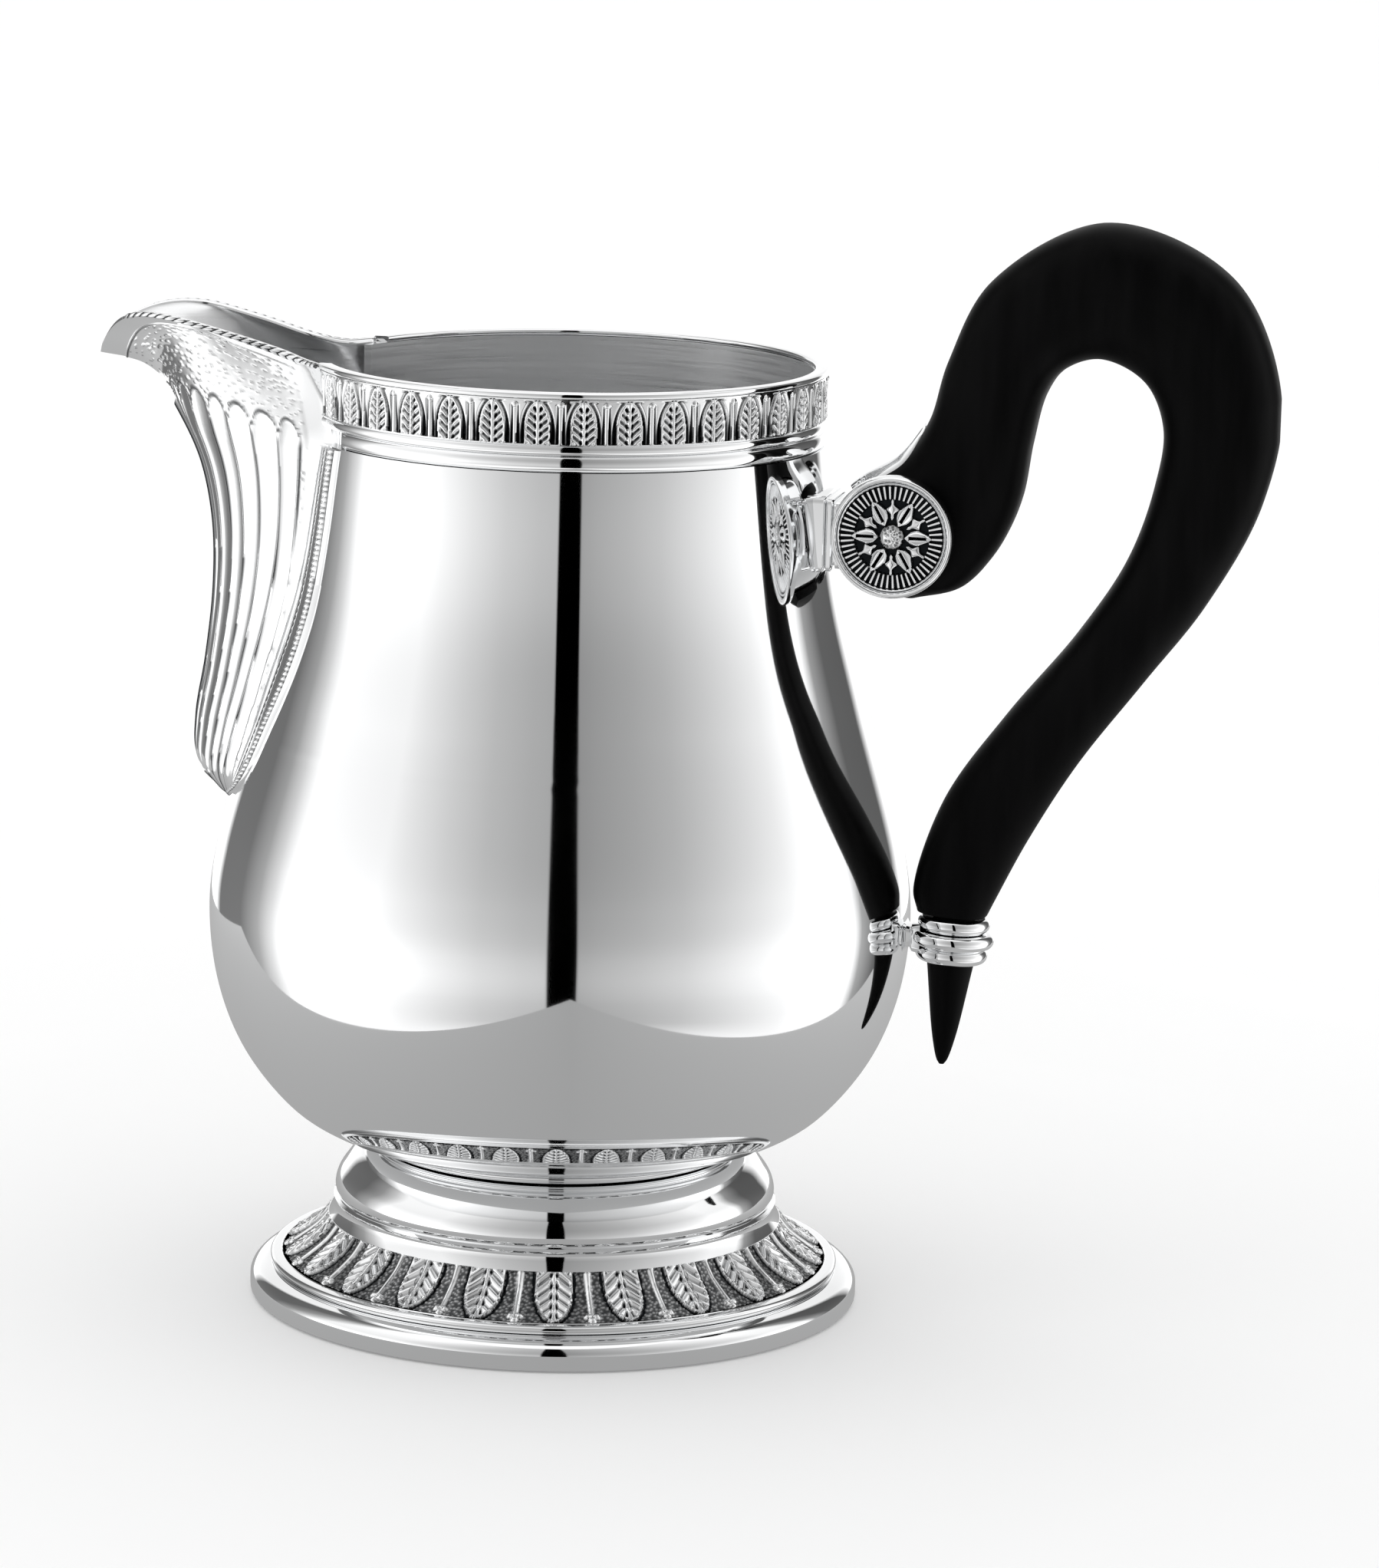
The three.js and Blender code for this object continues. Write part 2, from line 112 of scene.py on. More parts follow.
def catmull(points, places):
    """Centripetal Catmull-Rom curve through the points, read at places from 0 to 1."""
    points = np.asarray(points, float)
    count = len(points) - 1
    padded = np.vstack([2 * points[0] - points[1], points, 2 * points[-1] - points[-2]])
    scaled = np.clip(np.asarray(places, float), 0, 1) * count
    start = np.minimum(scaled.astype(int), count - 1)
    p0, p1, p2, p3 = (padded[start + i] for i in range(4))
    d0, d1, d2 = (np.linalg.norm(b - a, axis=1)[:, None] ** 0.5 for a, b in ((p0, p1), (p1, p2), (p2, p3)))
    t1 = ((p1 - p0) / d0 - (p2 - p0) / (d0 + d1) + (p2 - p1) / d1) * d1
    t2 = ((p2 - p1) / d1 - (p3 - p1) / (d1 + d2) + (p3 - p2) / d2) * d1
    u = (scaled - start)[:, None]
    return (p1 * (1 + u * u * (2 * u - 3)) + p2 * u * u * (3 - 2 * u)
            + t1 * u * (1 - u) ** 2 + t2 * u * u * (u - 1))


def curve(points, count):
    return catmull(points, np.linspace(0, 1, count))


def even(path, count):
    """The same line with its points at even distances."""
    steps = np.linalg.norm(np.diff(path, axis=0), axis=1)
    along = np.concatenate([[0], np.cumsum(steps)])
    wanted = np.linspace(0, along[-1], count)
    return np.stack([np.interp(wanted, along, path[:, k]) for k in range(path.shape[1])], axis=1)


def softened(corners, radius=0.15, steps=5):
    """A closed outline with its corners rounded off."""
    corners = np.asarray(corners, float)
    points = []
    for i, here in enumerate(corners):
        before, after = corners[i - 1] - here, corners[(i + 1) % len(corners)] - here
        lengths = np.linalg.norm(before), np.linalg.norm(after)
        reach = min(radius, 0.45 * lengths[0], 0.45 * lengths[1])
        a, b = here + before / lengths[0] * reach, here + after / lengths[1] * reach
        points += [(1 - t) ** 2 * a + 2 * t * (1 - t) * here + t * t * b for t in np.linspace(0, 1, steps)]
    return np.array(points)


def reed(bottom, top, radius, depth, back):
    """A closed outline with a half-round front."""
    angles = np.linspace(-math.pi / 2, math.pi / 2, 17)
    front = np.stack([radius - depth + depth * np.cos(angles),
                      (bottom + top) / 2 + (top - bottom) / 2 * np.sin(angles)], axis=1)
    return np.vstack([[(back, bottom)], front, [(back, top)]])


def smoothstep(value, start, end):
    x = np.clip((value - start) / (end - start), 0, 1)
    return x * x * (3 - 2 * x)


# ------------------------------------------------------------------ meshes


def piece(name, points, faces, material, node, oxide_and_shade=None, sharp=35, inside=None):
    """Makes one visible piece of the jug, riding on the frame in place of its CAD node.

    inside is a second material, and a test that says by a face's number whether it wears it.
    """
    points = np.asarray(points, float) + (AXIS_X, 0, 0)
    mesh = bpy.data.meshes.new(name)
    mesh.from_pydata((points * MM).tolist(), [], faces)
    # The per-point darkening stored here is dark oxide in the hollows together with painted shade in the
    # recesses and grooves.
    if oxide_and_shade is not None:
        mesh.attributes.new("oxide_and_shade", "FLOAT", "POINT").data.foreach_set("value", np.ravel(oxide_and_shade))
    mesh.materials.append(material)
    if inside is not None:
        mesh.materials.append(inside[0])
        for face in mesh.polygons:
            face.material_index = int(inside[1](face.index))
    clean(mesh, sharp)
    thing = bpy.data.objects.new(name, mesh)
    bpy.context.scene.collection.objects.link(thing)
    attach(thing, "root")
    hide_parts(node)
    return thing


def clean(mesh, sharp):
    """Welds points that meet, turns the faces outward and smooths all but sharp edges."""
    shape = bmesh.new()
    shape.from_mesh(mesh)
    bmesh.ops.remove_doubles(shape, verts=shape.verts, dist=WELD)
    bmesh.ops.recalc_face_normals(shape, faces=shape.faces)
    shape.to_mesh(mesh)
    shape.free()
    mesh.shade_smooth()
    mesh.set_sharp_from_angle(angle=math.radians(sharp))


def grid_faces(rows, columns, around=False, over=False):
    """Quads of a grid of points.

    around joins the last column to the first, and over joins the last row to the first.
    """
    row_steps = np.arange(rows if over else rows - 1)
    column_steps = np.arange(columns if around else columns - 1)
    i, j = np.meshgrid(row_steps, column_steps, indexing="ij")
    i, j = i.ravel(), j.ravel()
    up, across = (i + 1) % rows, (j + 1) % columns
    corners = [i * columns + j, i * columns + across, up * columns + across, up * columns + j]
    return np.stack(corners, axis=1).tolist()


def ring_angles(outline, gap=None, steps=TURNS):
    """Bearings of the columns of a turned ring, one row for each point of its outline.

    gap is the half-width of an opening left at the spout, one number or one for each row.
    """
    outline = np.asarray(outline, float)
    if gap is None:
        return np.tile(np.arange(steps) * 2 * math.pi / steps, (len(outline), 1))
    half = np.arcsin(np.clip(gap / np.maximum(outline[:, 0], 1e-6), 0, 1))[:, None]
    return half + (2 * math.pi - 2 * half) * np.linspace(0, 1, steps + 1)


def turned(outline, closed=True, gap=None, angles=None, relief=None, steps=TURNS):
    """Turns an outline of (radius, height) about the axis and returns points and faces.

    relief is how far each point stands out along the outline's normal.
    """
    outline = np.asarray(outline, float)
    if angles is None:
        angles = ring_angles(outline, gap, steps)
    rows, columns = angles.shape
    radius = np.tile(outline[:, :1], (1, columns))
    height = np.tile(outline[:, 1:], (1, columns))
    if relief is not None:
        along = np.gradient(outline, axis=0)
        normal = np.stack([along[:, 1], -along[:, 0]], axis=1)
        normal /= np.linalg.norm(normal, axis=1)[:, None]
        radius = radius + normal[:, :1] * relief
        height = height + normal[:, 1:] * relief
    points = np.stack([-radius * np.cos(angles), -radius * np.sin(angles), height], axis=2).reshape(-1, 3)
    faces = grid_faces(rows, columns, around=gap is None, over=closed)
    if gap is None:
        return points, faces
    for column in (0, columns - 1):
        if closed:
            faces.append([k * columns + column for k in range(rows)])
            continue
        opened = np.where(np.broadcast_to(gap, rows) > 0)[0]
        opened = np.concatenate([[opened[0] - 1], opened, [opened[-1] + 1]])
        pairs = list(zip(opened, opened[::-1]))[:len(opened) // 2]
        for (a, b), (c, d) in zip(pairs, pairs[1:]):
            faces.append([int(k) * columns + column for k in (a, b, d, c)])
    return points, faces


def swept(rings):
    """Skins a row of closed rings and caps its ends."""
    rings = np.asarray(rings, float)
    count, around = rings.shape[:2]
    faces = grid_faces(count, around, around=True)
    faces += [list(range(around)), [(count - 1) * around + k for k in range(around)]]
    return rings.reshape(-1, 3), faces


def moved(points, matrix):
    return np.array([matrix @ Vector(p) for p in points])


LEAN = Matrix.Translation(COLLAR) @ Matrix.Rotation(COLLAR_LEAN, 4, "Y")

# ------------------------------------------------------------------ materials


def shader(name, colour, metallic, roughness):
    material = bpy.data.materials.new(name)
    material.use_nodes = True
    nodes, links = material.node_tree.nodes, material.node_tree.links
    surface = nodes["Principled BSDF"]
    surface.inputs["Base Color"].default_value = (*colour, 1)
    surface.inputs["Metallic"].default_value = metallic
    surface.inputs["Roughness"].default_value = roughness
    return material, nodes, links, surface


def noise(nodes, links, scale, stretch=(1, 1, 1), detail=3):
    """Noise in the object's own space."""
    place = nodes.new("ShaderNodeTexCoord")
    mapping = nodes.new("ShaderNodeMapping")
    mapping.inputs["Scale"].default_value = stretch
    texture = nodes.new("ShaderNodeTexNoise")
    texture.inputs["Scale"].default_value = scale
    texture.inputs["Detail"].default_value = detail
    links.new(place.outputs["Object"], mapping.inputs["Vector"])
    links.new(mapping.outputs["Vector"], texture.inputs["Vector"])
    return texture.outputs["Fac"]


def spread(nodes, links, value, lowest, highest, from_low=0.3, from_high=0.7):
    ranged = nodes.new("ShaderNodeMapRange")
    ranged.inputs["From Min"].default_value = from_low
    ranged.inputs["From Max"].default_value = from_high
    ranged.inputs["To Min"].default_value = lowest
    ranged.inputs["To Max"].default_value = highest
    links.new(value, ranged.inputs["Value"])
    return ranged.outputs["Result"]


def bump(nodes, links, surface, height, strength, distance):
    node = nodes.new("ShaderNodeBump")
    node.inputs["Strength"].default_value = strength
    node.inputs["Distance"].default_value = distance
    links.new(height, node.inputs["Height"])
    links.new(node.outputs["Normal"], surface.inputs["Normal"])


SILVER_TONE = (0.95, 0.955, 0.96)


def polished_silver():
    """Mirror polish, with the faint uneven haze that hand buffing leaves."""
    material, nodes, links, surface = shader("polished silver", SILVER_TONE, 1, 0.04)
    haze = noise(nodes, links, 90, (1, 1, 0.3))
    links.new(spread(nodes, links, haze, 0.025, 0.06), surface.inputs["Roughness"])
    return material


def chased_silver():
    """Bright on the high parts, darkened in the recesses by dark oxide together with painted shade."""
    material, nodes, links, surface = shader("chased silver", SILVER_TONE, 1, 0.1)
    depth = nodes.new("ShaderNodeAttribute")
    depth.attribute_name = "oxide_and_shade"
    # The ramp runs from bright silver to near black: the dark end is oxide together with painted shade in
    # the recesses.
    ramp = nodes.new("ShaderNodeValToRGB")
    ramp.color_ramp.elements[0].color = (*SILVER_TONE, 1)
    ramp.color_ramp.elements[0].position = 0.1
    ramp.color_ramp.elements[1].color = (0.014, 0.016, 0.018, 1)
    ramp.color_ramp.elements[1].position = 0.9
    links.new(depth.outputs["Fac"], ramp.inputs["Fac"])
    links.new(ramp.outputs["Color"], surface.inputs["Base Color"])
    links.new(spread(nodes, links, depth.outputs["Fac"], 0.1, 0.45, 0, 1), surface.inputs["Roughness"])
    bump(nodes, links, surface, noise(nodes, links, 1800), 0.1, 0.00004)
    return material


def satin_silver():
    """The brushed inside of the bowl, with fine rings left by the spinning lathe."""
    material, nodes, links, surface = shader("satin silver", (0.96, 0.965, 0.97), 1, 0.33)
    rings = noise(nodes, links, 60, (1, 1, 45), 4)
    links.new(spread(nodes, links, rings, 0.26, 0.42), surface.inputs["Roughness"])
    bump(nodes, links, surface, rings, 0.2, 0.00006)
    return material


def black_wood():
    """Ebonised hardwood, rubbed to a low sheen, its pores just showing."""
    material, nodes, links, surface = shader("black wood", (0.002, 0.002, 0.0022), 0, 0.5)
    grain = noise(nodes, links, 420, (1, 1, 0.14), 5)
    patches = noise(nodes, links, 40)
    links.new(spread(nodes, links, patches, 0.42, 0.56), surface.inputs["Roughness"])
    tint = nodes.new("ShaderNodeValToRGB")
    tint.color_ramp.elements[0].color = (0.0006, 0.0006, 0.0007, 1)
    tint.color_ramp.elements[0].position = 0.35
    tint.color_ramp.elements[1].color = (0.0025, 0.0024, 0.0026, 1)
    tint.color_ramp.elements[1].position = 0.75
    links.new(grain, tint.inputs["Fac"])
    links.new(tint.outputs["Color"], surface.inputs["Base Color"])
    surface.inputs["Specular IOR Level"].default_value = 0.06
    bump(nodes, links, surface, grain, 0.15, 0.00008)
    return material


SILVER = polished_silver()
CHASED = chased_silver()
SATIN = satin_silver()
WOOD = black_wood()

# ------------------------------------------------------------------ body

# The pear-shaped outside: (radius, height) from the neck up to the wires.
PEAR = [(21.2, BODY_LOW), (24.4, 19.25), (27.4, 20.4), (31.1, 22.8), (36.2, 29.2), (39.1, 36.6),
        (40.09, 45.5), (39.05, 53.1), (34.1, 70.6), (30.9, 83.3), (RIM_RADIUS, BAND_LOW)]
PEAR_LINE = curve(PEAR, 400)
# Half the width of the pouring hole behind the spout, by height.
HOLE = [(0, 66), (1.5, 66.6), (4.6, 70), (7.0, 74), (9.4, 86), (10, 96), (10, RIM_Z + 5)]


def body_radius(z):
    return np.where(z > BAND_LOW, RIM_RADIUS, np.interp(z, PEAR_LINE[:, 1], PEAR_LINE[:, 0]))


def hole_half_width(z):
    return np.interp(z, [h for _, h in HOLE], [w for w, _ in HOLE], left=0)


def make_body():
    outside = even(PEAR_LINE, 110)
    lip = np.array([(WALL_RADIUS, BAND_LOW), (WALL_RADIUS, LEAF_HIGH)])
    inner_z = outside[:, 1]
    inner_r = np.interp(inner_z, PEAR_LINE[:, 1], PEAR_LINE[:, 0]) - WALL
    floor_z = BODY_LOW + 3
    inner_z = np.where(inner_z < floor_z, floor_z - (floor_z - inner_z) * 0.35, inner_z)
    inner_r = np.where(outside[:, 1] < floor_z, inner_r - 0.4, inner_r)
    inner_lip = np.array([(BORE_RADIUS + 0.1, BAND_LOW + 0.2), (BORE_RADIUS, LEAF_HIGH)])
    inside = np.vstack([np.stack([inner_r, inner_z], axis=1), inner_lip])[::-1]
    outline = np.vstack([[(0, BODY_LOW)], [(12, BODY_LOW)], outside, lip, inside,
                         [(12, BODY_LOW + 1.5)], [(0, BODY_LOW + 1.4)]])
    points, faces = turned(outline, closed=False, gap=hole_half_width(outline[:, 1]))
    first_inside = (2 + len(outside) + 2) * TURNS
    piece("bowl", points, faces, SILVER, "body_shell",
          inside=(SATIN, lambda number: number >= first_inside))


# ------------------------------------------------------------------ leaf friezes


def groove(distance, half_width):
    return np.exp(-(distance / half_width) ** 2)


def dome(distance, radius):
    """Height of a ball over its middle plane, by the distance from its centre."""
    return np.sqrt(np.maximum(radius ** 2 - distance ** 2, 0))


def leaf(x, y, half_width, length, roundness, vein_pitch):
    """Height and edge distance of a leaf with its foot at y = 0 and its tip at y = length."""

    def half(place):
        up = np.clip(place / length, 0, 1)
        return half_width * (1 - up ** roundness) ** 0.62 * (1 - 0.12 * (1 - up) ** 2)

    slope = (half(y + 0.05) - half(y - 0.05)) / 0.1
    inside = (half(y) - np.abs(x)) / np.sqrt(1 + slope ** 2)
    inside = np.where(y > length, -np.hypot(x, y - length), inside)
    share = np.abs(x) / half_width
    veins = (0.5 + 0.5 * np.cos(2 * math.pi * (y - 0.85 * np.abs(x)) / vein_pitch)) ** 1.3
    veins *= smoothstep(inside, 0.2, 0.38) * smoothstep(np.abs(x), 0.1, 0.25)
    beside_rib = groove(np.abs(x) - 0.3, 0.12) * smoothstep(inside, 0, 0.3)
    return -0.1 * share ** 2 - 0.36 * veins - 0.2 * beside_rib, inside


def punches(x, y, pitch, seed):
    """Distance to the nearest of many scattered punch marks."""
    cell_x, cell_y = np.floor(x / pitch), np.floor(y / pitch)
    nearest = np.full(x.shape, 9.0)
    for i in (-1, 0, 1):
        for j in (-1, 0, 1):
            a, b = cell_x + i, cell_y + j
            jump = np.sin(a * 127.1 + b * 311.7 + seed) * 43758.5453
            drift = np.sin(a * 269.5 + b * 183.3 + seed) * 24634.6345
            mark_x, mark_y = (a + jump - np.floor(jump)) * pitch, (b + drift - np.floor(drift)) * pitch
            nearest = np.minimum(nearest, np.hypot(x - mark_x, y - mark_y))
    return nearest


def rim_leaf(repeat, y, pitch):
    """An upright round-arched leaf, with a thin rod that ends in a ball between leaves."""
    x = repeat * pitch
    side = pitch / 2 - np.abs(x)
    blade, inside = leaf(x, y, half_width=1.62, length=4.75, roundness=3.0, vein_pitch=0.9)
    ground = -0.03 - 0.3 * smoothstep(y, 4.2, 0.4)
    height = np.where(inside > 0, blade, ground - 0.34 * groove(inside + 0.2, 0.15))
    rod = np.where(side < 0.2, -0.02 - 1.5 * side ** 2, -9)
    beside = ground - 0.3 * groove(side - 0.33, 0.11)
    rod_top = 4.4
    height = np.where((inside < -0.2) & (side < 0.5) & (y < rod_top), np.maximum(beside, rod), height)
    ball = dome(np.hypot(side, y - rod_top), 0.38)
    height = np.where(ball > 0, np.maximum(height, ball * 0.7 - 0.15), height)
    return np.where((y < 0.12) | (y > 4.9), 0, height)


def foot_leaf(repeat, y, pitch):
    """A leaf hanging outward and down, with a rod that ends in a trefoil between leaves."""
    x = repeat * pitch
    side = pitch / 2 - np.abs(x)
    blade, inside = leaf(x, y, half_width=2.3, length=6.75, roundness=3.2, vein_pitch=1.35)
    dots = punches(repeat * 7.3 + 60, y, pitch=0.42, seed=5.1)
    ground = -0.36 - 0.12 * groove(inside + 0.15, 0.15) + 0.1 * groove(dots, 0.13)
    height = np.where(inside > 0, 0.06 + blade, ground)
    rod = -0.02 - (1.6 + 0.25 * y) * side ** 2
    height = np.where((side < 0.42) & (y < 5.8), np.maximum(height, rod), height)
    for ball_side, ball_y, size in ((0, 6.4, 0.46), (0.5, 5.85, 0.4)):
        ball = dome(np.hypot(side - ball_side, y - ball_y), size)
        height = np.where(ball > 0, np.maximum(height, ball * 0.9 - 0.3), height)
    return np.where((y < 0.1) | (y > 6.95), 0, height)


def make_band(name, node, outer, back, count, first, columns, shape, gap=None):
    """A chased ring: the outer line carries the leaves, and the back line closes it."""
    outline = np.vstack([outer, back])
    lengths = np.concatenate([[0], np.cumsum(np.linalg.norm(np.diff(outer, axis=0), axis=1))])[:, None]
    angles = ring_angles(outline, gap, count * columns)
    turn = (angles[:len(outer)] - first) * count / (2 * math.pi)
    relief = np.zeros(angles.shape)
    relief[:len(outer)] = shape(turn - np.round(turn), lengths, 2 * math.pi * outer[:, :1] / count)
    # Painted shade with oxide: the deeper the chasing is sunk, the darker it is painted.
    oxide_and_shade = 0.95 * smoothstep(-relief, 0.14, 0.42)
    points, faces = turned(outline, gap=gap, angles=angles, relief=relief)
    piece(name, points, faces, CHASED, node, oxide_and_shade, sharp=60)


RIM_LEAVES, FIRST_RIM_LEAF = 36, math.radians(5)
FOOT_LEAVES, FIRST_FOOT_LEAF = 22, math.radians(102.25)
LEAVES_TOP = 9.0  # height at which the leaves of the foot begin
# Half the width of the break that each ring of the rim leaves for the spout.
LOWER_REED_GAP, UPPER_REED_GAP, LEAF_GAP, WIRE_GAP = 19.4, 14.4, 13.7, 12.9


def make_rim():
    outer = even(np.array([(RIM_RADIUS - 0.1, LEAF_LOW), (RIM_RADIUS - 0.1, LEAF_HIGH)]), 52)
    back = np.array([(WALL_RADIUS, LEAF_HIGH), (WALL_RADIUS, LEAF_LOW)])
    make_band("rim_leaves", "rim_leaf_band", outer, back, RIM_LEAVES, FIRST_RIM_LEAF, 44, rim_leaf, LEAF_GAP)
    reeds = (("lower_reed", "rim_reed_lower", BAND_LOW, REED_TOP, RIM_RADIUS, 0.5, LOWER_REED_GAP),
             ("upper_reed", "rim_reed_upper", REED_TOP, LEAF_LOW, RIM_RADIUS - 0.05, 0.4, UPPER_REED_GAP))
    for name, node, bottom, top, radius, depth, gap in reeds:
        points, faces = turned(reed(bottom, top, radius, depth, WALL_RADIUS), gap=gap)
        piece(name, points, faces, SILVER, node)
    corners = [(BORE_RADIUS, LEAF_HIGH), (RIM_RADIUS, LEAF_HIGH), (RIM_RADIUS, RIM_Z), (BORE_RADIUS, RIM_Z)]
    points, faces = turned(softened(corners, 0.33), gap=WIRE_GAP)
    piece("rim_wire", points, faces, SILVER, "rim_top_wire")


# ------------------------------------------------------------------ foot


def make_foot():
    neck = reed(FOOT_TOP, BODY_LOW + 0.15, 21.2, 0.6, 16.5)
    dome_line = np.vstack([
        curve([(25.0, 11.3), (25.3, 12.3), (25.0, 13.7), (24.1, 15.1), (23.1, 16.3), (22.2, 17.0),
               (20.1, FOOT_TOP)], 40),
        [(16.5, FOOT_TOP), (16.5, FOOT_TOP - 1.2)],
        curve([(19.6, 15.9), (22.4, 14.2), (23.4, 11.3)], 12),
    ])
    fillet = [(23.2, 11.35), (25.2, 11.35), (25.5, 11.1), (25.35, 10.75), (25.35, 10.5), (25.5, 9.9),
              (26.05, LEAVES_TOP), (24.6, LEAVES_TOP), (23.7, 10.2)]
    rings = (("neck", "neck_ring", neck), ("foot_dome_shell", "foot_dome", dome_line),
             ("fillet", "foot_fillet", fillet),
             ("bead_ring", "foot_bead", reed(3.5, 4.5, 32.7, 0.5, 30.0)),
             ("foot_rim", "foot_ring", softened([
                 (32.2, 0), (FOOT_RADIUS, 0), (FOOT_RADIUS, 2.1), (34.2, 3.0), (33.0, 3.5), (30.0, 3.5),
                 (30.2, 2.5),
             ], 0.5)))
    for name, node, outline in rings:
        points, faces = turned(outline)
        piece(name, points, faces, SILVER, node)
    outer = even(curve([(31.5, 4.5), (29.2, 6.0), (27.2, 7.6), (26.1, LEAVES_TOP)], 60), 60)
    back = np.array([(24.7, LEAVES_TOP), (25.8, 7.5), (30.0, 4.5)])
    total = np.linalg.norm(np.diff(outer, axis=0), axis=1).sum()
    make_band("foot_leaves", "foot_leaf_band", outer, back, FOOT_LEAVES, FIRST_FOOT_LEAF, 60,
              lambda repeat, y, pitch: foot_leaf(repeat, total - y, pitch))


# ------------------------------------------------------------------ spout

# (height, ridge's distance from the axis, half-width on the body), from the toe to the beak.
SPOUT_ROWS = [(57.0, 38.3, 8.5), (58.3, 40.1, 11.0), (60.6, 42.4, 12.4), (65.0, 42.6, 13.4),
              (72.0, 41.5, 13.8), (80.0, 40.7, 14.2), (88.0, 40.8, 14.8), (94.5, 42.1, 15.2),
              (99.5, 44.4, 15.4), (102.9, 46.8, 15.4), (104.9, 49.8, 15.2), (105.7, SPOUT_REACH, 14.9)]
# The lip's edge from the beak back to the rim: (distance from the axis, half-width, height).
LIP = [(SPOUT_REACH, 0, 105.7), (54.4, 1.1, 107.0), (52.3, 3.2, 109.4), (49.0, 6.1, 110.8),
       (45.0, 8.0, 110.9), (38.0, 8.2, 109.4), (31.5, 8.1, 107.6), (28.5, 9.8, 106.9), (25.9, 13.0, 106.8)]
LIP_LINE = even(curve(LIP, 400), 400)
LIP_START = 0.7  # how far up the sheet starts to lean toward the lip
KEEL_POWER = 1.7
TUCK = 1.0  # how far the sheet's edges reach into the wall of the body
LIP_RAISE = 0.7  # height of the lip's rounded edge over the lip line
LIP_ROLL = 0.42
SPOUT_WALL = 1.0
# Where the grooves between flutes lie across each half of the spout: at the toe, and at the top.
GROOVES = [(0.06, 0.05), (0.17, 0.155), (0.29, 0.26), (0.40, 0.36), (0.49, 0.45), (0.565, 0.55),
           (0.63, 0.66), (0.72, 0.755)]


def lip_point(across, inset=0.0):
    across = np.asarray(across, float)
    places = np.linspace(0, 1, len(LIP_LINE))
    x, y, z = (np.interp(np.abs(across), places, LIP_LINE[:, k]) for k in range(3))
    inward = np.minimum(np.abs(across) * 6, 1)
    return np.stack([x - inset * (1 - inward), np.sign(across) * (y - inset * inward), z], axis=-1)


def spout_section(across, up, inset):
    height, ridge, half_width = catmull(SPOUT_ROWS, up).T
    width = half_width - inset
    root = np.sqrt(body_radius(height) ** 2 - width ** 2) - TUCK
    turn = across * math.pi / 2
    reach = (ridge - inset - root) * np.maximum(np.cos(turn), 0) ** KEEL_POWER
    return np.stack([root + reach, width * np.sin(turn), height], axis=-1)


def spout_point(across, up, inset=0.0):
    to_lip = smoothstep(up, LIP_START, 1)[:, None]
    lift = lip_point(across, inset) + (0, 0, LIP_RAISE) - spout_section(across, np.ones_like(up), inset)
    return (spout_section(across, up, inset) + lift * to_lip) * (-1, 1, 1)


def spout_relief(across, up, from_ridge, from_lip, from_toe):
    """Height and painted darkening of the chasing, oxide together with painted shade in its hollows: a plain
    border, a punched ground and round-topped flutes.
    """
    side = np.abs(across)
    along_row = np.abs(from_ridge)
    flute_top = 0.822 - 0.08 * side
    quiet = smoothstep(up, 0.62, 0.45)
    border = 2.6 + 0.6 * groove(side, 0.15)
    ground = smoothstep(from_lip - border, 0.1, 0.3) * smoothstep(side, 0.8, 0.77)
    marks = groove(punches(from_ridge + 40, from_lip, pitch=0.9, seed=3.7), 0.15)
    height = -ground * (0.08 + 0.16 * marks * smoothstep(side, 0.02, 0.1))
    # Painted shade with oxide in the punch marks of the ground, and along the sunk line of the border.
    oxide_and_shade = ground * 0.6 * marks
    line = groove(from_lip - border, 0.13) * (side < 0.8)
    height -= 0.16 * line
    oxide_and_shade = np.maximum(oxide_and_shade, line * (0.3 + 0.6 * groove(side, 0.3)))
    climb = smoothstep(up, 0.1, 0.6)
    grooves = [toe + (top - toe) * climb for toe, top in GROOVES]
    for left, right in zip([-grooves[0], *grooves], grooves):
        x = (2 * side - left - right) / (right - left)
        round_front = np.sqrt(np.clip(1 - x ** 2, 0, 1))
        arch = flute_top - 0.05 * (1 - round_front)
        inside = (np.abs(x) < 1) & (up < arch)
        last = right is grooves[-1]
        depth = 0.34 * (1 - quiet * (x > 0)) if last else 0.34
        height = np.where(inside, depth * (round_front - 1), height)
        oxide_and_shade = np.where(inside, 0, oxide_and_shade)
        # Painted shade along the arched cap at the top of each flute.
        cap = groove(up - arch - 0.003, 0.005) * (np.abs(x) < 1)
        height -= 0.14 * cap
        oxide_and_shade = np.maximum(oxide_and_shade, 0.8 * cap)
        shown = smoothstep(up, flute_top - 0.03, flute_top - 0.055) * (1 - quiet if last else 1)
        # Painted shade: a dark line down the groove beside each flute.
        line = groove((side - right) * along_row / np.maximum(side, 0.02), 0.2) * shown
        oxide_and_shade = np.maximum(oxide_and_shade, line)
        height -= 0.12 * line
    fade = smoothstep(from_toe, 0.0, 0.9)
    return height * fade, oxide_and_shade * fade


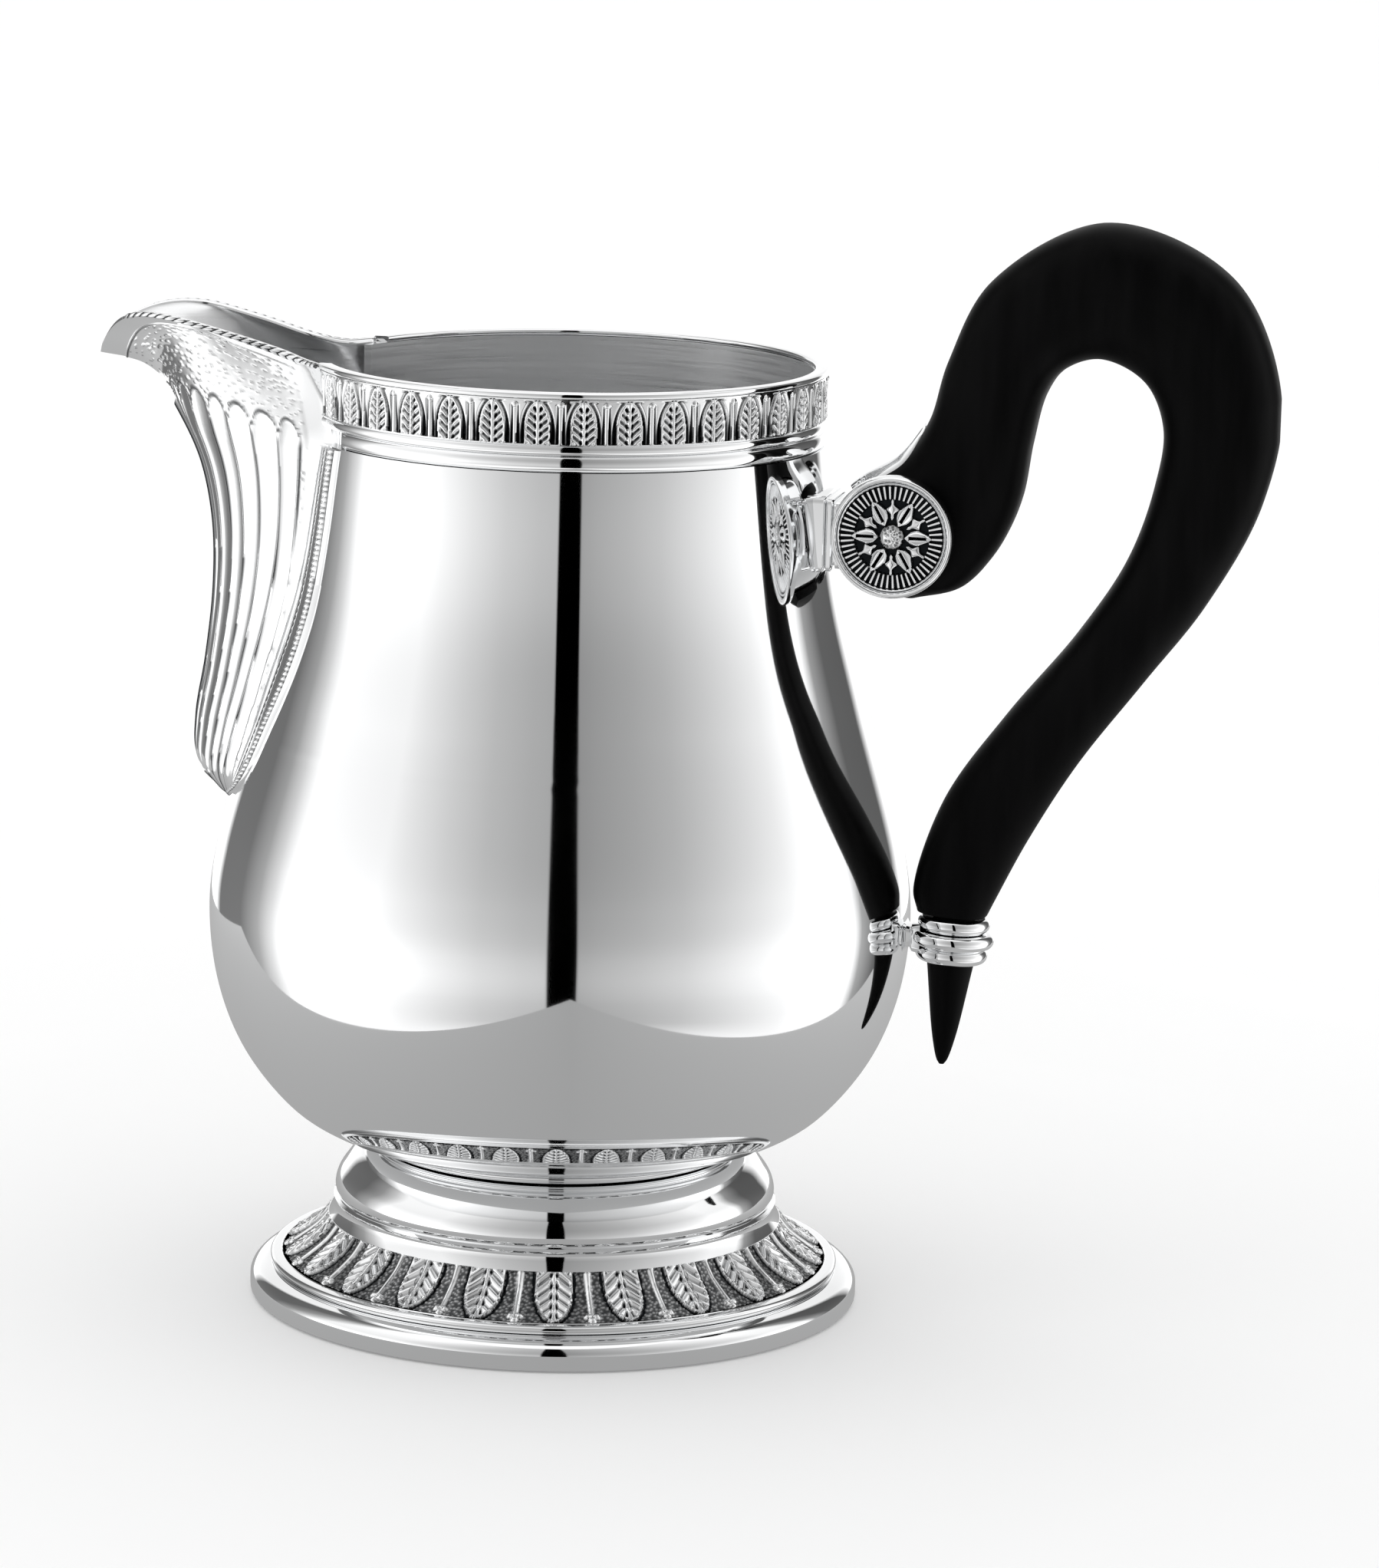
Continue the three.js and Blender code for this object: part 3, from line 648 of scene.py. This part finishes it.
def make_spout():
    columns, inner_rows, roll_rows = 256, 36, 5
    climb = np.concatenate([np.linspace(0, 0.64, 120), np.linspace(0.64, 1, 190)[1:]])
    across, up = np.meshgrid(np.linspace(-1, 1, columns + 1), climb)
    base = spout_point(across.ravel(), up.ravel()).reshape(*across.shape, 3)
    along = np.linalg.norm(np.diff(base, axis=0), axis=2)
    along = np.concatenate([np.zeros((1, columns + 1)), np.cumsum(along, axis=0)])
    side = np.linalg.norm(np.diff(base, axis=1), axis=2)
    side = np.concatenate([np.zeros((len(climb), 1)), np.cumsum(side, axis=1)], axis=1)
    from_ridge = side - side[:, columns // 2:columns // 2 + 1]
    relief, dark = spout_relief(across, up, from_ridge, along[-1] - along, along)
    normal = np.cross(np.gradient(base, axis=1), np.gradient(base, axis=0))
    normal /= np.maximum(np.linalg.norm(normal, axis=2), 1e-9)[:, :, None]
    outer = base + normal * relief[:, :, None]
    drop = np.linspace(1, 0, inner_rows)
    inner_across, inner_up = np.meshgrid(across[0], drop)
    inner = spout_point(inner_across.ravel(), inner_up.ravel(), SPOUT_WALL)
    inner = inner.reshape(inner_rows, columns + 1, 3)
    turn = np.linspace(0, math.pi, roll_rows + 2)[1:-1, None, None]
    middle, half = (outer[-1] + inner[0]) / 2, (outer[-1] - inner[0]) / 2
    roll = middle + half * np.cos(turn) + np.array((0, 0, LIP_ROLL)) * np.sin(turn)
    points = np.concatenate([outer, roll, inner])
    rows = len(points)
    faces = grid_faces(rows, columns + 1, over=True)
    first_inner = len(climb) + roll_rows
    for column in (0, columns):
        ends = [int(np.searchsorted(climb, place)) for place in drop]
        faces.append([k * (columns + 1) + column for k in range(len(climb) - 1, first_inner + 1)])
        for number in range(inner_rows - 1):
            ladder = [*range(ends[number + 1], ends[number] + 1), first_inner + number,
                      first_inner + number + 1]
            faces.append([k * (columns + 1) + column for k in ladder])
    # The chasing's painted darkening, oxide with painted shade; the lip roll and the inside get none.
    oxide_and_shade = np.concatenate([dark.ravel(), np.zeros((rows - len(climb)) * (columns + 1))])
    hidden = first_inner * columns
    piece("spout_shell", points.reshape(-1, 3), faces, CHASED, "spout", oxide_and_shade, sharp=60,
          inside=(SATIN, lambda number: hidden <= number < rows * columns))


ROPE_FIRST, ROPE_LAST = 0.2, 0.97  # shares of the lip where each length of the rope starts and ends


def make_lip_wire():
    """Two strands twisted together along the outer edge of the lip, one length on each side of the beak."""
    thick, twist, steps, around = 0.34, 1.15, 520, 14
    points, faces, oxide_and_shade = [], [], []
    for side in (-1, 1):
        path = spout_point(side * np.linspace(ROPE_FIRST, ROPE_LAST, 400), np.ones(400)) + (0, 0, 0.12)
        path = even(path, steps)
        length = np.linalg.norm(np.diff(path, axis=0), axis=1).sum()
        tangent = np.gradient(path, axis=0)
        tangent /= np.linalg.norm(tangent, axis=1)[:, None]
        beside = np.cross(tangent, (0, 0, 1.0))
        beside /= np.linalg.norm(beside, axis=1)[:, None]
        above = np.cross(beside, tangent)
        angle = np.arange(around) * 2 * math.pi / around
        phase = np.linspace(0, math.pi * length / twist, steps)[:, None]
        taper = np.minimum(1, np.linspace(0, 14, steps) + 0.2)[:, None]
        radius = thick * (0.74 + 0.3 * np.abs(np.cos(angle[None, :] - phase))) * taper
        rings = (path[:, None] + (radius * np.cos(angle))[:, :, None] * beside[:, None]
                 + (radius * np.sin(angle))[:, :, None] * above[:, None])
        side_points, side_faces = swept(rings)
        faces += [[k + len(points) * steps * around for k in face] for face in side_faces]
        points.append(side_points)
        # Painted shade with oxide in the crevices between the twisted strands, where the rope is thinnest.
        oxide_and_shade.append(smoothstep(thick * 0.93 - radius / taper, 0, 0.05).ravel())
    piece("lip_rope", np.vstack(points), faces, CHASED, "spout_lip_wire",
          np.concatenate(oxide_and_shade), sharp=70)


# The outer edge of the strip beside the spout: (half-width, height), from the toe to the rim.
STRIP_EDGE = [(12.6, 58.5), (15.6, 60.0), (17.4, 62.8), (18.4, 67), (19.6, 73), (19.7, 79), (19.3, 86),
              (19.3, 92), (19.3, BAND_LOW - 0.2)]


def bead_row(x, along, centre, size, pitch):
    """Height of a row of round beads."""
    near = along - np.round(along / pitch) * pitch
    return np.sqrt(np.maximum(size ** 2 - (x - centre) ** 2 - near ** 2, 0))


def make_strip(name, node, side):
    """A strip with a dotted line and, near its outer edge, a row of beads between two channels, from the toe
    up to the wires.
    """
    rows, columns, proud = 520, 34, 0.5
    edge = even(curve(STRIP_EDGE, 300), rows + 1)
    inner_y = 11.0 + 4.4 * np.sqrt(np.linspace(0, 1, rows + 1))
    share = np.linspace(0, 1, columns + 1)
    y = inner_y[:, None] + (edge[:, :1] - inner_y[:, None]) * share
    z = np.tile(edge[:, 1:], (1, columns + 1))
    width = edge[:, :1] - inner_y[:, None]
    x = width * share
    along = np.concatenate([[0], np.cumsum(np.linalg.norm(np.diff(edge, axis=0), axis=1))])[:, None]
    beads_at = width - 0.72
    relief = bead_row(x, along, beads_at, 0.3, 0.6)
    line_at = width * 0.45
    line = groove(x - line_at, 0.11) * (0.6 + 0.4 * np.cos(2 * math.pi * along / 0.8))
    channel = groove(np.abs(x - beads_at) - 0.4, 0.1)
    # Painted shade with oxide: the dotted line, the channels beside the beads and the gaps between the beads
    # are painted dark.
    oxide_and_shade = np.maximum(0.8 * line, 0.75 * channel)
    oxide_and_shade = np.maximum(oxide_and_shade, 0.7 * (np.abs(x - beads_at) < 0.3) * (relief < 0.06))
    relief = relief - 0.15 * line - 0.12 * channel
    lift = (proud + relief) * np.minimum(1, np.minimum(x, width - x) / 0.2 + 0.2)

    def laid(height):
        radius = body_radius(z) + height
        return np.stack([-np.sqrt(radius ** 2 - y ** 2), side * y, z], axis=2)

    outer, inner = laid(lift), laid(np.full_like(lift, -0.5))
    rings = np.concatenate([outer, inner[:, ::-1]], axis=1)
    points, faces = swept(rings)
    both = np.concatenate([oxide_and_shade, np.zeros_like(oxide_and_shade)], axis=1)
    piece(name, points, faces, CHASED, node, both, sharp=60)


# ------------------------------------------------------------------ socket, rosettes and stem


def make_socket():
    barrel = softened([(0, -BARREL_HALF), (BARREL_RADIUS, -BARREL_HALF), (BARREL_RADIUS, BARREL_HALF),
                       (0, BARREL_HALF)], 0.2)
    points, faces = turned(barrel, steps=96)
    onto_y = Matrix.Translation(SOCKET) @ Matrix.Rotation(math.pi / 2, 4, "X")
    piece("barrel", moved(points, onto_y), faces, SILVER, "socket_barrel")
    for name, node, side in (("front_rosette", "rosette_front", -1), ("back_rosette", "rosette_back", 1)):
        make_rosette(name, node, side)


def rosette_relief(radius, angle):
    """Height of the rosette's face: petals round a boss, a ring of short flutes and a double rim."""
    ribs = smoothstep(np.cos(angle * ROSETTE_FLUTES), -0.35, 0.25)
    ribs = ribs * smoothstep(radius, 4.1, 4.3) * smoothstep(radius, 5.82, 5.7)
    height = 0.55 + 0.62 * ribs
    height = np.where(radius > 5.8, 0.7, height)
    for centre, half, top in ((5.97, 0.17, 1.4), (6.5, 0.36, ROSETTE_THICK - 0.2)):
        bead = np.clip(1 - ((radius - centre) / half) ** 2, 0, 1)
        height = np.where(bead > 0, np.maximum(height, top - 0.7 + 0.7 * np.sqrt(bead)), height)
    for first, start, end, wide, tall in ((math.pi / 6, 1.9, 4.3, 0.75, 0.5), (0, 1.5, 4.55, 0.9, 0.8)):
        turn = (angle - first) / (math.pi / 3)
        off = (turn - np.round(turn)) * math.pi / 3
        x, y = radius * np.cos(off), radius * np.sin(off)
        place = np.clip((x - start) / (end - start), 0, 1)
        half = wide * np.sin(math.pi * place ** 0.8) ** 0.7
        if first:
            half = wide * np.sin(math.pi * place) ** 0.8 * (0.7 + 0.3 * np.cos(4 * math.pi * place))
        inside = np.where(half > 0.04, np.clip(1 - (y / np.maximum(half, 0.04)) ** 2, 0, 1), 0)
        petal = 0.62 + tall * np.sqrt(inside)
        petal -= (first == 0) * 0.8 * groove(y, 0.15) * (place > 0.15) * (place < 0.8)
        height = np.where(inside > 0, np.maximum(height * (inside < 0.1), petal), height)
    boss = np.clip(1 - (radius / 1.4) ** 2, 0, 1)
    dots = punches(radius * np.cos(angle) + 20, radius * np.sin(angle) + 20, 0.5, 1.3)
    return np.where(boss > 0, 0.8 + 0.75 * np.sqrt(boss) - 0.3 * groove(dots, 0.14), height)


def make_rosette(name, node, side):
    rings, spokes = 96, 648
    radii = np.linspace(0, ROSETTE_RADIUS, rings)[1:]
    angles = np.arange(spokes) * 2 * math.pi / spokes
    radius, angle = np.meshgrid(radii, angles, indexing="ij")
    height = rosette_relief(radius, angle)
    height[-1] = 1.0
    face = np.stack([radius * np.cos(angle), radius * np.sin(angle), height], axis=2).reshape(-1, 3)
    edge = face[-spokes:] * (1, 1, 0)
    points = np.vstack([face, edge, [(0, 0, 1.7)], [(0, 0, 0)]])
    count = len(radii)
    faces = grid_faces(count + 1, spokes, around=True)
    top, bottom = len(points) - 2, len(points) - 1
    for j in range(spokes):
        k = (j + 1) % spokes
        faces.append([top, j, k])
        faces.append([bottom, count * spokes + k, count * spokes + j])
    # Painted shade with oxide: the face is painted darker where it sits low, the lower boss too, and lightly
    # at the boss's top point.
    dark = np.where(radius > ROSETTE_RADIUS - 0.01, 0, smoothstep(height, 0.95, 0.68))
    dark = np.where(radius < 1.4, 0.5 * smoothstep(height, 1.5, 1.1), dark)
    oxide_and_shade = np.concatenate([dark.ravel(), np.zeros(spokes), [0.3], [0]])
    onto_face = (Matrix.Translation(SOCKET + Vector((0, side * BARREL_HALF, 0)))
                 @ Matrix.Rotation(-side * math.pi / 2, 4, "X"))
    piece(name, moved(points, onto_face), faces, CHASED, node, oxide_and_shade, sharp=60)


def rounded_box_rings(stations, corner=0.7, around=10):
    """Rounded rectangles across X: each station is (x, half-width, lowest z, highest z)."""
    rings = []
    for x, half, bottom, top in stations:
        ring = softened([(-half, bottom), (half, bottom), (half, top), (-half, top)], corner, around)
        rings.append([(x, y, z) for y, z in ring])
    return rings


def make_stem():
    bottom, top = low("handle_stem"), high("handle_stem")
    start, end = low("handle_stem", 0) - AXIS_X, SOCKET.x - 4.2

    def station(x, grow):
        return (x, 5.4 + grow, bottom - grow, top + grow)

    flange = [station(28.4, 0.4), station(30.25, 0.4), station(30.4, 0.25), station(30.45, -0.35)]
    stem = [station(start - 0.45, -0.25), station(start - 0.4, 0.1), station(start - 0.2, 0.3),
            station(start + 0.2, 0.3), station(start + 0.4, 0.1), station(start + 0.45, -0.3),
            station(start + 0.65, -0.3), station(start + 0.7, 0), station(end, 0)]
    for name, node, stations in (("flange", "stem_flange", flange), ("stem", "handle_stem", stem)):
        rings = np.array(rounded_box_rings(stations))
        if stations is flange:
            arch = 1 - (rings[:, :, 1] / 5.9) ** 2
            rings[:, :, 2] += 0.8 * smoothstep(rings[:, :, 2], bottom, top) * arch
        points, faces = swept(rings)
        piece(name, points, faces, SILVER, node, sharp=40)


# ------------------------------------------------------------------ handle

# Pairs across the flat outline, from the socket over the loop to the collar:
# (outer x, outer z, inner x, inner z, depth).
HANDLE_PAIRS = [
    (36.6, 84.5, 40.6, 83.5, 9.0), (34.0, 86.6, 45.4, 84.8, 11.6),
    (32.4, 90.4, 48.4, 87.9, 12.4), (32.8, 94.9, 50.4, 91.4, 12.4),
    (38.4, 99.0, 51.8, 95.4, 12.4), (41.2, 103.5, 52.7, 101.2, 12.4),
    (43.1, 110.2, 54.1, 106.9, 12.4), (47.7, 119.3, 56.2, 109.8, 12.4),
    (60.2, 126.1, 60.2, 111.1, 12.4), (74.4, 120.4, 65.1, 108.8, 12.4),
    (HANDLE_REACH, 107.5, 67.3, 103.9, 12.2), (78.5, 95.5, 66.6, 97.3, 11.8),
    (72.8, 84.1, 63.9, 89.0, 11.2), (66.1, 74.9, 58.6, 80.4, 10.5),
    (59.0, 65.2, 50.8, 70.5, 9.9), (53.7, 56.2, 44.1, 60.5, 9.3),
    (50.1, 48.9, 40.9, 50.1, 8.3), (49.3, 47.2, 41.4, 47.7, 7.6),
]
SQUARENESS = 0.74
TENON_RADIUS = 2.4


def handle_ring(outer, inner, depth, around=56):
    """An oval with filled corners between an outer and an inner point."""
    angle = np.arange(around) * 2 * math.pi / around
    c, s = (np.sign(v) * np.abs(v) ** SQUARENESS for v in (np.cos(angle), np.sin(angle)))
    middle, half = (outer + inner) / 2, (outer - inner) / 2
    return np.stack([middle[0] + half[0] * c, depth / 2 * s, middle[1] + half[1] * c], axis=1)


def cylinder_y(radius, half_length):
    """A cylinder across the socket, as points and faces."""
    outline = [(0, -half_length), (radius, -half_length), (radius, half_length), (0, half_length)]
    points, faces = turned(outline, steps=96)
    return moved(points, Matrix.Translation(SOCKET) @ Matrix.Rotation(math.pi / 2, 4, "X")), faces


def box_between(lowest, highest):
    corners = [(x, y, z) for x in (lowest[0], highest[0]) for y in (lowest[1], highest[1])
               for z in (lowest[2], highest[2])]
    return corners, [(0, 1, 3, 2), (4, 6, 7, 5), (0, 4, 5, 1), (2, 3, 7, 6), (0, 2, 6, 4), (1, 5, 7, 3)]


def carve(thing, cutters):
    """Cuts solids out of a piece and applies the result."""
    for number, (points, faces) in enumerate(cutters):
        mesh = bpy.data.meshes.new(f"cutter_{number}")
        mesh.from_pydata(((np.asarray(points) + (AXIS_X, 0, 0)) * MM).tolist(), [], faces)
        clean(mesh, 30)
        cutter = bpy.data.objects.new(mesh.name, mesh)
        bpy.context.scene.collection.objects.link(cutter)
        cut = thing.modifiers.new("cut", "BOOLEAN")
        cut.operation = "DIFFERENCE"
        cut.solver = "EXACT"
        cut.object = cutter
        bpy.context.view_layer.update()
        shaped = bpy.data.meshes.new_from_object(thing.evaluated_get(bpy.context.evaluated_depsgraph_get()))
        thing.modifiers.clear()
        thing.data = shaped
        bpy.data.objects.remove(cutter)
    clean(thing.data, 40)


def make_handle():
    stations = 300
    pairs = np.array(HANDLE_PAIRS)
    outer, inner = curve(pairs[:, :2], stations), curve(pairs[:, 2:4], stations)
    outer[:, 0] = np.minimum(outer[:, 0], HANDLE_REACH)
    outer[:, 1] = np.minimum(outer[:, 1], CAD_BOX[1][2] / MM)
    depth = np.interp(np.linspace(0, len(pairs) - 1, stations), np.arange(len(pairs)), pairs[:, 4])
    rings = [handle_ring(*ring) for ring in zip(outer, inner, depth)]
    for height in (3 * COLLAR_PITCH + 0.3, -0.2):
        a, b = (LEAN @ Vector((side * TENON_RADIUS, 0, height)) for side in (1, -1))
        rings.append(handle_ring(np.array((a.x, a.z)), np.array((b.x, b.z)), 2 * TENON_RADIUS))
    points, faces = swept(rings)
    grip = piece("grip", points, faces, WOOD, "handle", sharp=50)
    beside_stem = box_between((20, -20, 70), (SOCKET.x - 0.2, 20, high("handle_stem") + 0.3))
    carve(grip, [cylinder_y(BARREL_RADIUS + 0.15, 20), beside_stem])
    taper = curve([(0.28, -TIP_LENGTH + 0.06), (0.62, -TIP_LENGTH + 0.6), (1.35, -TIP_LENGTH + 3.4),
                   (2.62, -0.55)], 40)
    points, faces = turned([(0, -TIP_LENGTH), *taper, (2.62, 0.3), (0, 0.3)], steps=64)
    piece("tip", moved(points, LEAN), faces, WOOD, "handle_tip", sharp=50)


def make_strap():
    """The silver tongue along the back of the handle, bent round the wood."""
    steps, columns, thick, half_width, first, last = 60, 24, 0.75, 3.4, 3.1, 4.85
    pairs = np.array(HANDLE_PAIRS)
    places = np.linspace(first, last, steps + 1) / (len(pairs) - 1)
    outer, inner = catmull(pairs[:, :2], places), catmull(pairs[:, 2:4], places)
    along = np.gradient(outer, axis=0)
    outward = np.stack([-along[:, 1], along[:, 0]], axis=1)
    outward /= np.linalg.norm(outward, axis=1)[:, None]
    half_depth = 6.2
    width = half_width * np.sqrt(np.clip(1 - np.linspace(0, 0.995, steps + 1) ** 3, 0, 1))
    share = np.linspace(-1, 1, columns + 1)
    y = width[:, None] * share
    sine = (np.abs(y) / half_depth) ** (1 / SQUARENESS)
    drop = np.linalg.norm(outer - inner, axis=1)[:, None] / 2 * (1 - (1 - sine ** 2) ** (SQUARENESS / 2))

    def laid(lift):
        off = lift - drop
        bent = [outer[:, :1] + outward[:, :1] * off, y, outer[:, 1:] + outward[:, 1:] * off]
        return np.stack(bent, axis=2)

    edge = np.sqrt(np.clip(1 - share ** 8, 0, 1)) * (1 - 0.7 * np.linspace(0, 1, steps + 1)[:, None] ** 3)
    rings = np.concatenate([laid(0.1 + thick * edge), laid(np.full_like(y, 0.02))[:, ::-1]], axis=1)
    points, faces = swept(rings)
    piece("strap", points, faces, SILVER, "handle_strap", sharp=50)


def make_collar():
    radii = (("collar_foot", "collar_ring_lower", 4.1), ("collar_middle", "collar_ring_middle", 4.7),
             ("collar_top", "collar_ring_upper", 4.1))
    for index, (name, node, radius) in enumerate(radii):
        points, faces = turned(reed(0.02, COLLAR_PITCH - 0.02, radius, 0.75, 2.7), steps=128)
        points[:, 2] += index * COLLAR_PITCH
        piece(name, moved(points, LEAN), faces, SILVER, node)
    middle = COLLAR.z + 1.5 * COLLAR_PITCH
    rings = []
    for x, half, tall in ((39.0, 2.1, 1.7), (40.0, 2.1, 1.7), (40.3, 1.6, 1.3), (40.7, 1.5, 1.2),
                          (41.0, 1.9, 1.6), (42.0, 2.2, 1.8)):
        rings += rounded_box_rings([(x, half, middle - tall, middle + tall)], 0.8)
    points, faces = swept(rings)
    piece("bridge", points, faces, SILVER, "collar_bridge", sharp=40)


# ------------------------------------------------------------------ camera, stage and light

# The camera stands before the jug, turned from the handle's plane by VIEW_TURN, and looks slightly down.
VIEW_TURN = math.radians(12.01)
VIEW_DISTANCE, VIEW_HEIGHT = 708.7, 199.25
VIEW_PITCH, VIEW_YAW, VIEW_ROLL = (math.radians(a) for a in (11.14, 1.168, 1.359))
LENS, SENSOR = 145.32, 36
TO_FRAME = Matrix.Translation((AXIS_X * MM, 0, 0)) @ Matrix.Rotation(VIEW_TURN, 4, "Z")


def make_camera():
    data = bpy.data.cameras.new("camera")
    data.lens = LENS
    data.sensor_width = SENSOR
    data.sensor_fit = "AUTO"
    data.clip_end = 20
    camera = bpy.data.objects.new("camera", data)
    bpy.context.scene.collection.objects.link(camera)
    forward = Vector((math.sin(VIEW_YAW) * math.cos(VIEW_PITCH), math.cos(VIEW_YAW) * math.cos(VIEW_PITCH),
                      -math.sin(VIEW_PITCH)))
    right = Vector((math.cos(VIEW_YAW), -math.sin(VIEW_YAW), 0))
    up = right.cross(forward)
    rolled_right = math.cos(VIEW_ROLL) * right + math.sin(VIEW_ROLL) * up
    rolled_up = math.cos(VIEW_ROLL) * up - math.sin(VIEW_ROLL) * right
    turn = Matrix((rolled_right, rolled_up, -forward)).transposed().to_4x4()
    place = Matrix.Translation(Vector((0, -VIEW_DISTANCE, VIEW_HEIGHT)) * MM)
    camera.matrix_world = TO_FRAME @ place @ turn
    bpy.context.scene.camera = camera


def stage_mesh(name, points, faces, material):
    mesh = bpy.data.meshes.new(name)
    mesh.from_pydata(points, [], faces)
    mesh.materials.append(material)
    thing = bpy.data.objects.new(name, mesh)
    thing.matrix_world = TO_FRAME
    bpy.context.scene.collection.objects.link(thing)
    return thing


def glow(name):
    """Light of the strength held by the mesh's own 'light' attribute."""
    material = bpy.data.materials.new(name)
    material.use_nodes = True
    nodes, links = material.node_tree.nodes, material.node_tree.links
    nodes.remove(nodes["Principled BSDF"])
    level = nodes.new("ShaderNodeAttribute")
    level.attribute_name = "light"
    emission = nodes.new("ShaderNodeEmission")
    links.new(level.outputs["Fac"], emission.inputs["Strength"])
    links.new(emission.outputs["Emission"], nodes["Material Output"].inputs["Surface"])
    return material


# Brightness of the light tent by bearing: 0 is toward the camera, and right is positive.
TENT = [(-180, 1.1), (-152, 1.1), (-146, 0.15), (-126, 0.16), (-114, 0.36), (-106, 0.7), (-98, 1.2),
        (-62, 1.12), (-54, 0.98), (-40, 0.78), (-26, 0.62), (-12, 0.53), (-4.2, 0.50), (-3.6, 0), (5.2, 0),
        (5.8, 0.36), (12, 0.40), (26, 0.47), (40, 0.56), (54, 0.70), (67, 0.84), (80, 1.0), (90, 1.2),
        (108, 1.2), (114, 0.35), (124, 0.12), (142, 0.10), (150, 1.1), (180, 1.1)]
TENT_RADIUS, TENT_TOP, TENT_BOTTOM = 1.2, 2.6, -1.6
# Brightness by elevation in degrees, as a share of the above.
TENT_SHADE = [(-60, 1), (-24, 1), (-20, 1.08), (-17, 1.18), (-12, 1.25), (-4, 1.18), (4, 1.01), (14, 0.87),
              (20, 0.8), (40, 0.85), (65, 1)]
FLOOR_GLOW = 1.08


def make_tent():
    """A round light tent with a dark slit behind the camera, which only reflections show."""
    bearings = np.arange(-180, 180, 0.4)
    heights = np.linspace(TENT_BOTTOM, TENT_TOP, 80)
    bearing, height = np.meshgrid(bearings, heights)
    turn = np.radians(bearing)
    points = np.stack([TENT_RADIUS * np.sin(turn), -TENT_RADIUS * np.cos(turn), height], axis=2)
    faces = grid_faces(len(heights), len(bearings), around=True)
    tent = stage_mesh("light_tent", points.reshape(-1, 3).tolist(), faces, glow("tent light"))
    elevation = np.degrees(np.arctan2(height - 0.06, TENT_RADIUS))
    level = np.interp(bearing, *zip(*TENT)) * np.interp(elevation, *zip(*TENT_SHADE))
    level += (FLOOR_GLOW - level) * smoothstep(elevation, -26, -34)
    tent.data.attributes.new("light", "FLOAT", "POINT").data.foreach_set("value", level.ravel())
    reflected_only(tent)


def reflected_only(thing):
    thing.visible_camera = False
    thing.visible_diffuse = False
    thing.visible_shadow = False
    thing.visible_transmission = False
    thing.visible_volume_scatter = False


# The grey slab that the jug's lower half reflects: corners on the floor, and their brightness.
SLAB = [((0.010, -0.172), 0.37), ((0.210, 0.162), 0.62), ((0.0, 0.32), 0.42), ((-0.228, 0.128), 0.58)]
SLAB_MIDDLE = 0.36


def make_slab():
    rings = 12
    middle = np.array((0, 0.01))
    corners = np.array([corner for corner, _ in SLAB])
    levels = np.array([level for _, level in SLAB])
    points, light = [], []
    for ring in range(rings + 1):
        share = ring / rings
        for corner, level in zip(corners, levels):
            points.append((*(middle + (corner - middle) * share), -0.00005))
            light.append(SLAB_MIDDLE + (level - SLAB_MIDDLE) * share)
    slab = stage_mesh("slab", points, grid_faces(rings + 1, len(SLAB), around=True), glow("slab light"))
    slab.data.attributes.new("light", "FLOAT", "POINT").data.foreach_set("value", light)
    reflected_only(slab)


def make_stage():
    material = shader("floor", (0.93, 0.93, 0.93), 0, 0.9)[0]
    half = 3.0
    floor = stage_mesh("floor", [(-half, -half, 0), (half, -half, 0), (half, half, 0), (-half, half, 0)],
                       [(0, 1, 2, 3)], material)
    floor.location.z = -0.0002
    floor.visible_glossy = False
    world = bpy.data.worlds.new("white room")
    world.use_nodes = True
    world.node_tree.nodes["Background"].inputs["Color"].default_value = (1, 1, 1, 1)
    world.node_tree.nodes["Background"].inputs["Strength"].default_value = 1.08
    bpy.context.scene.world = world
    bpy.context.scene.view_settings.view_transform = "Standard"


make_camera()
make_stage()
make_tent()
make_slab()
make_body()
make_rim()
make_foot()
make_spout()
make_lip_wire()
make_strip("left_strip", "spout_strip_left", -1)
make_strip("right_strip", "spout_strip_right", 1)
make_socket()
make_stem()
make_handle()
make_strap()
make_collar()
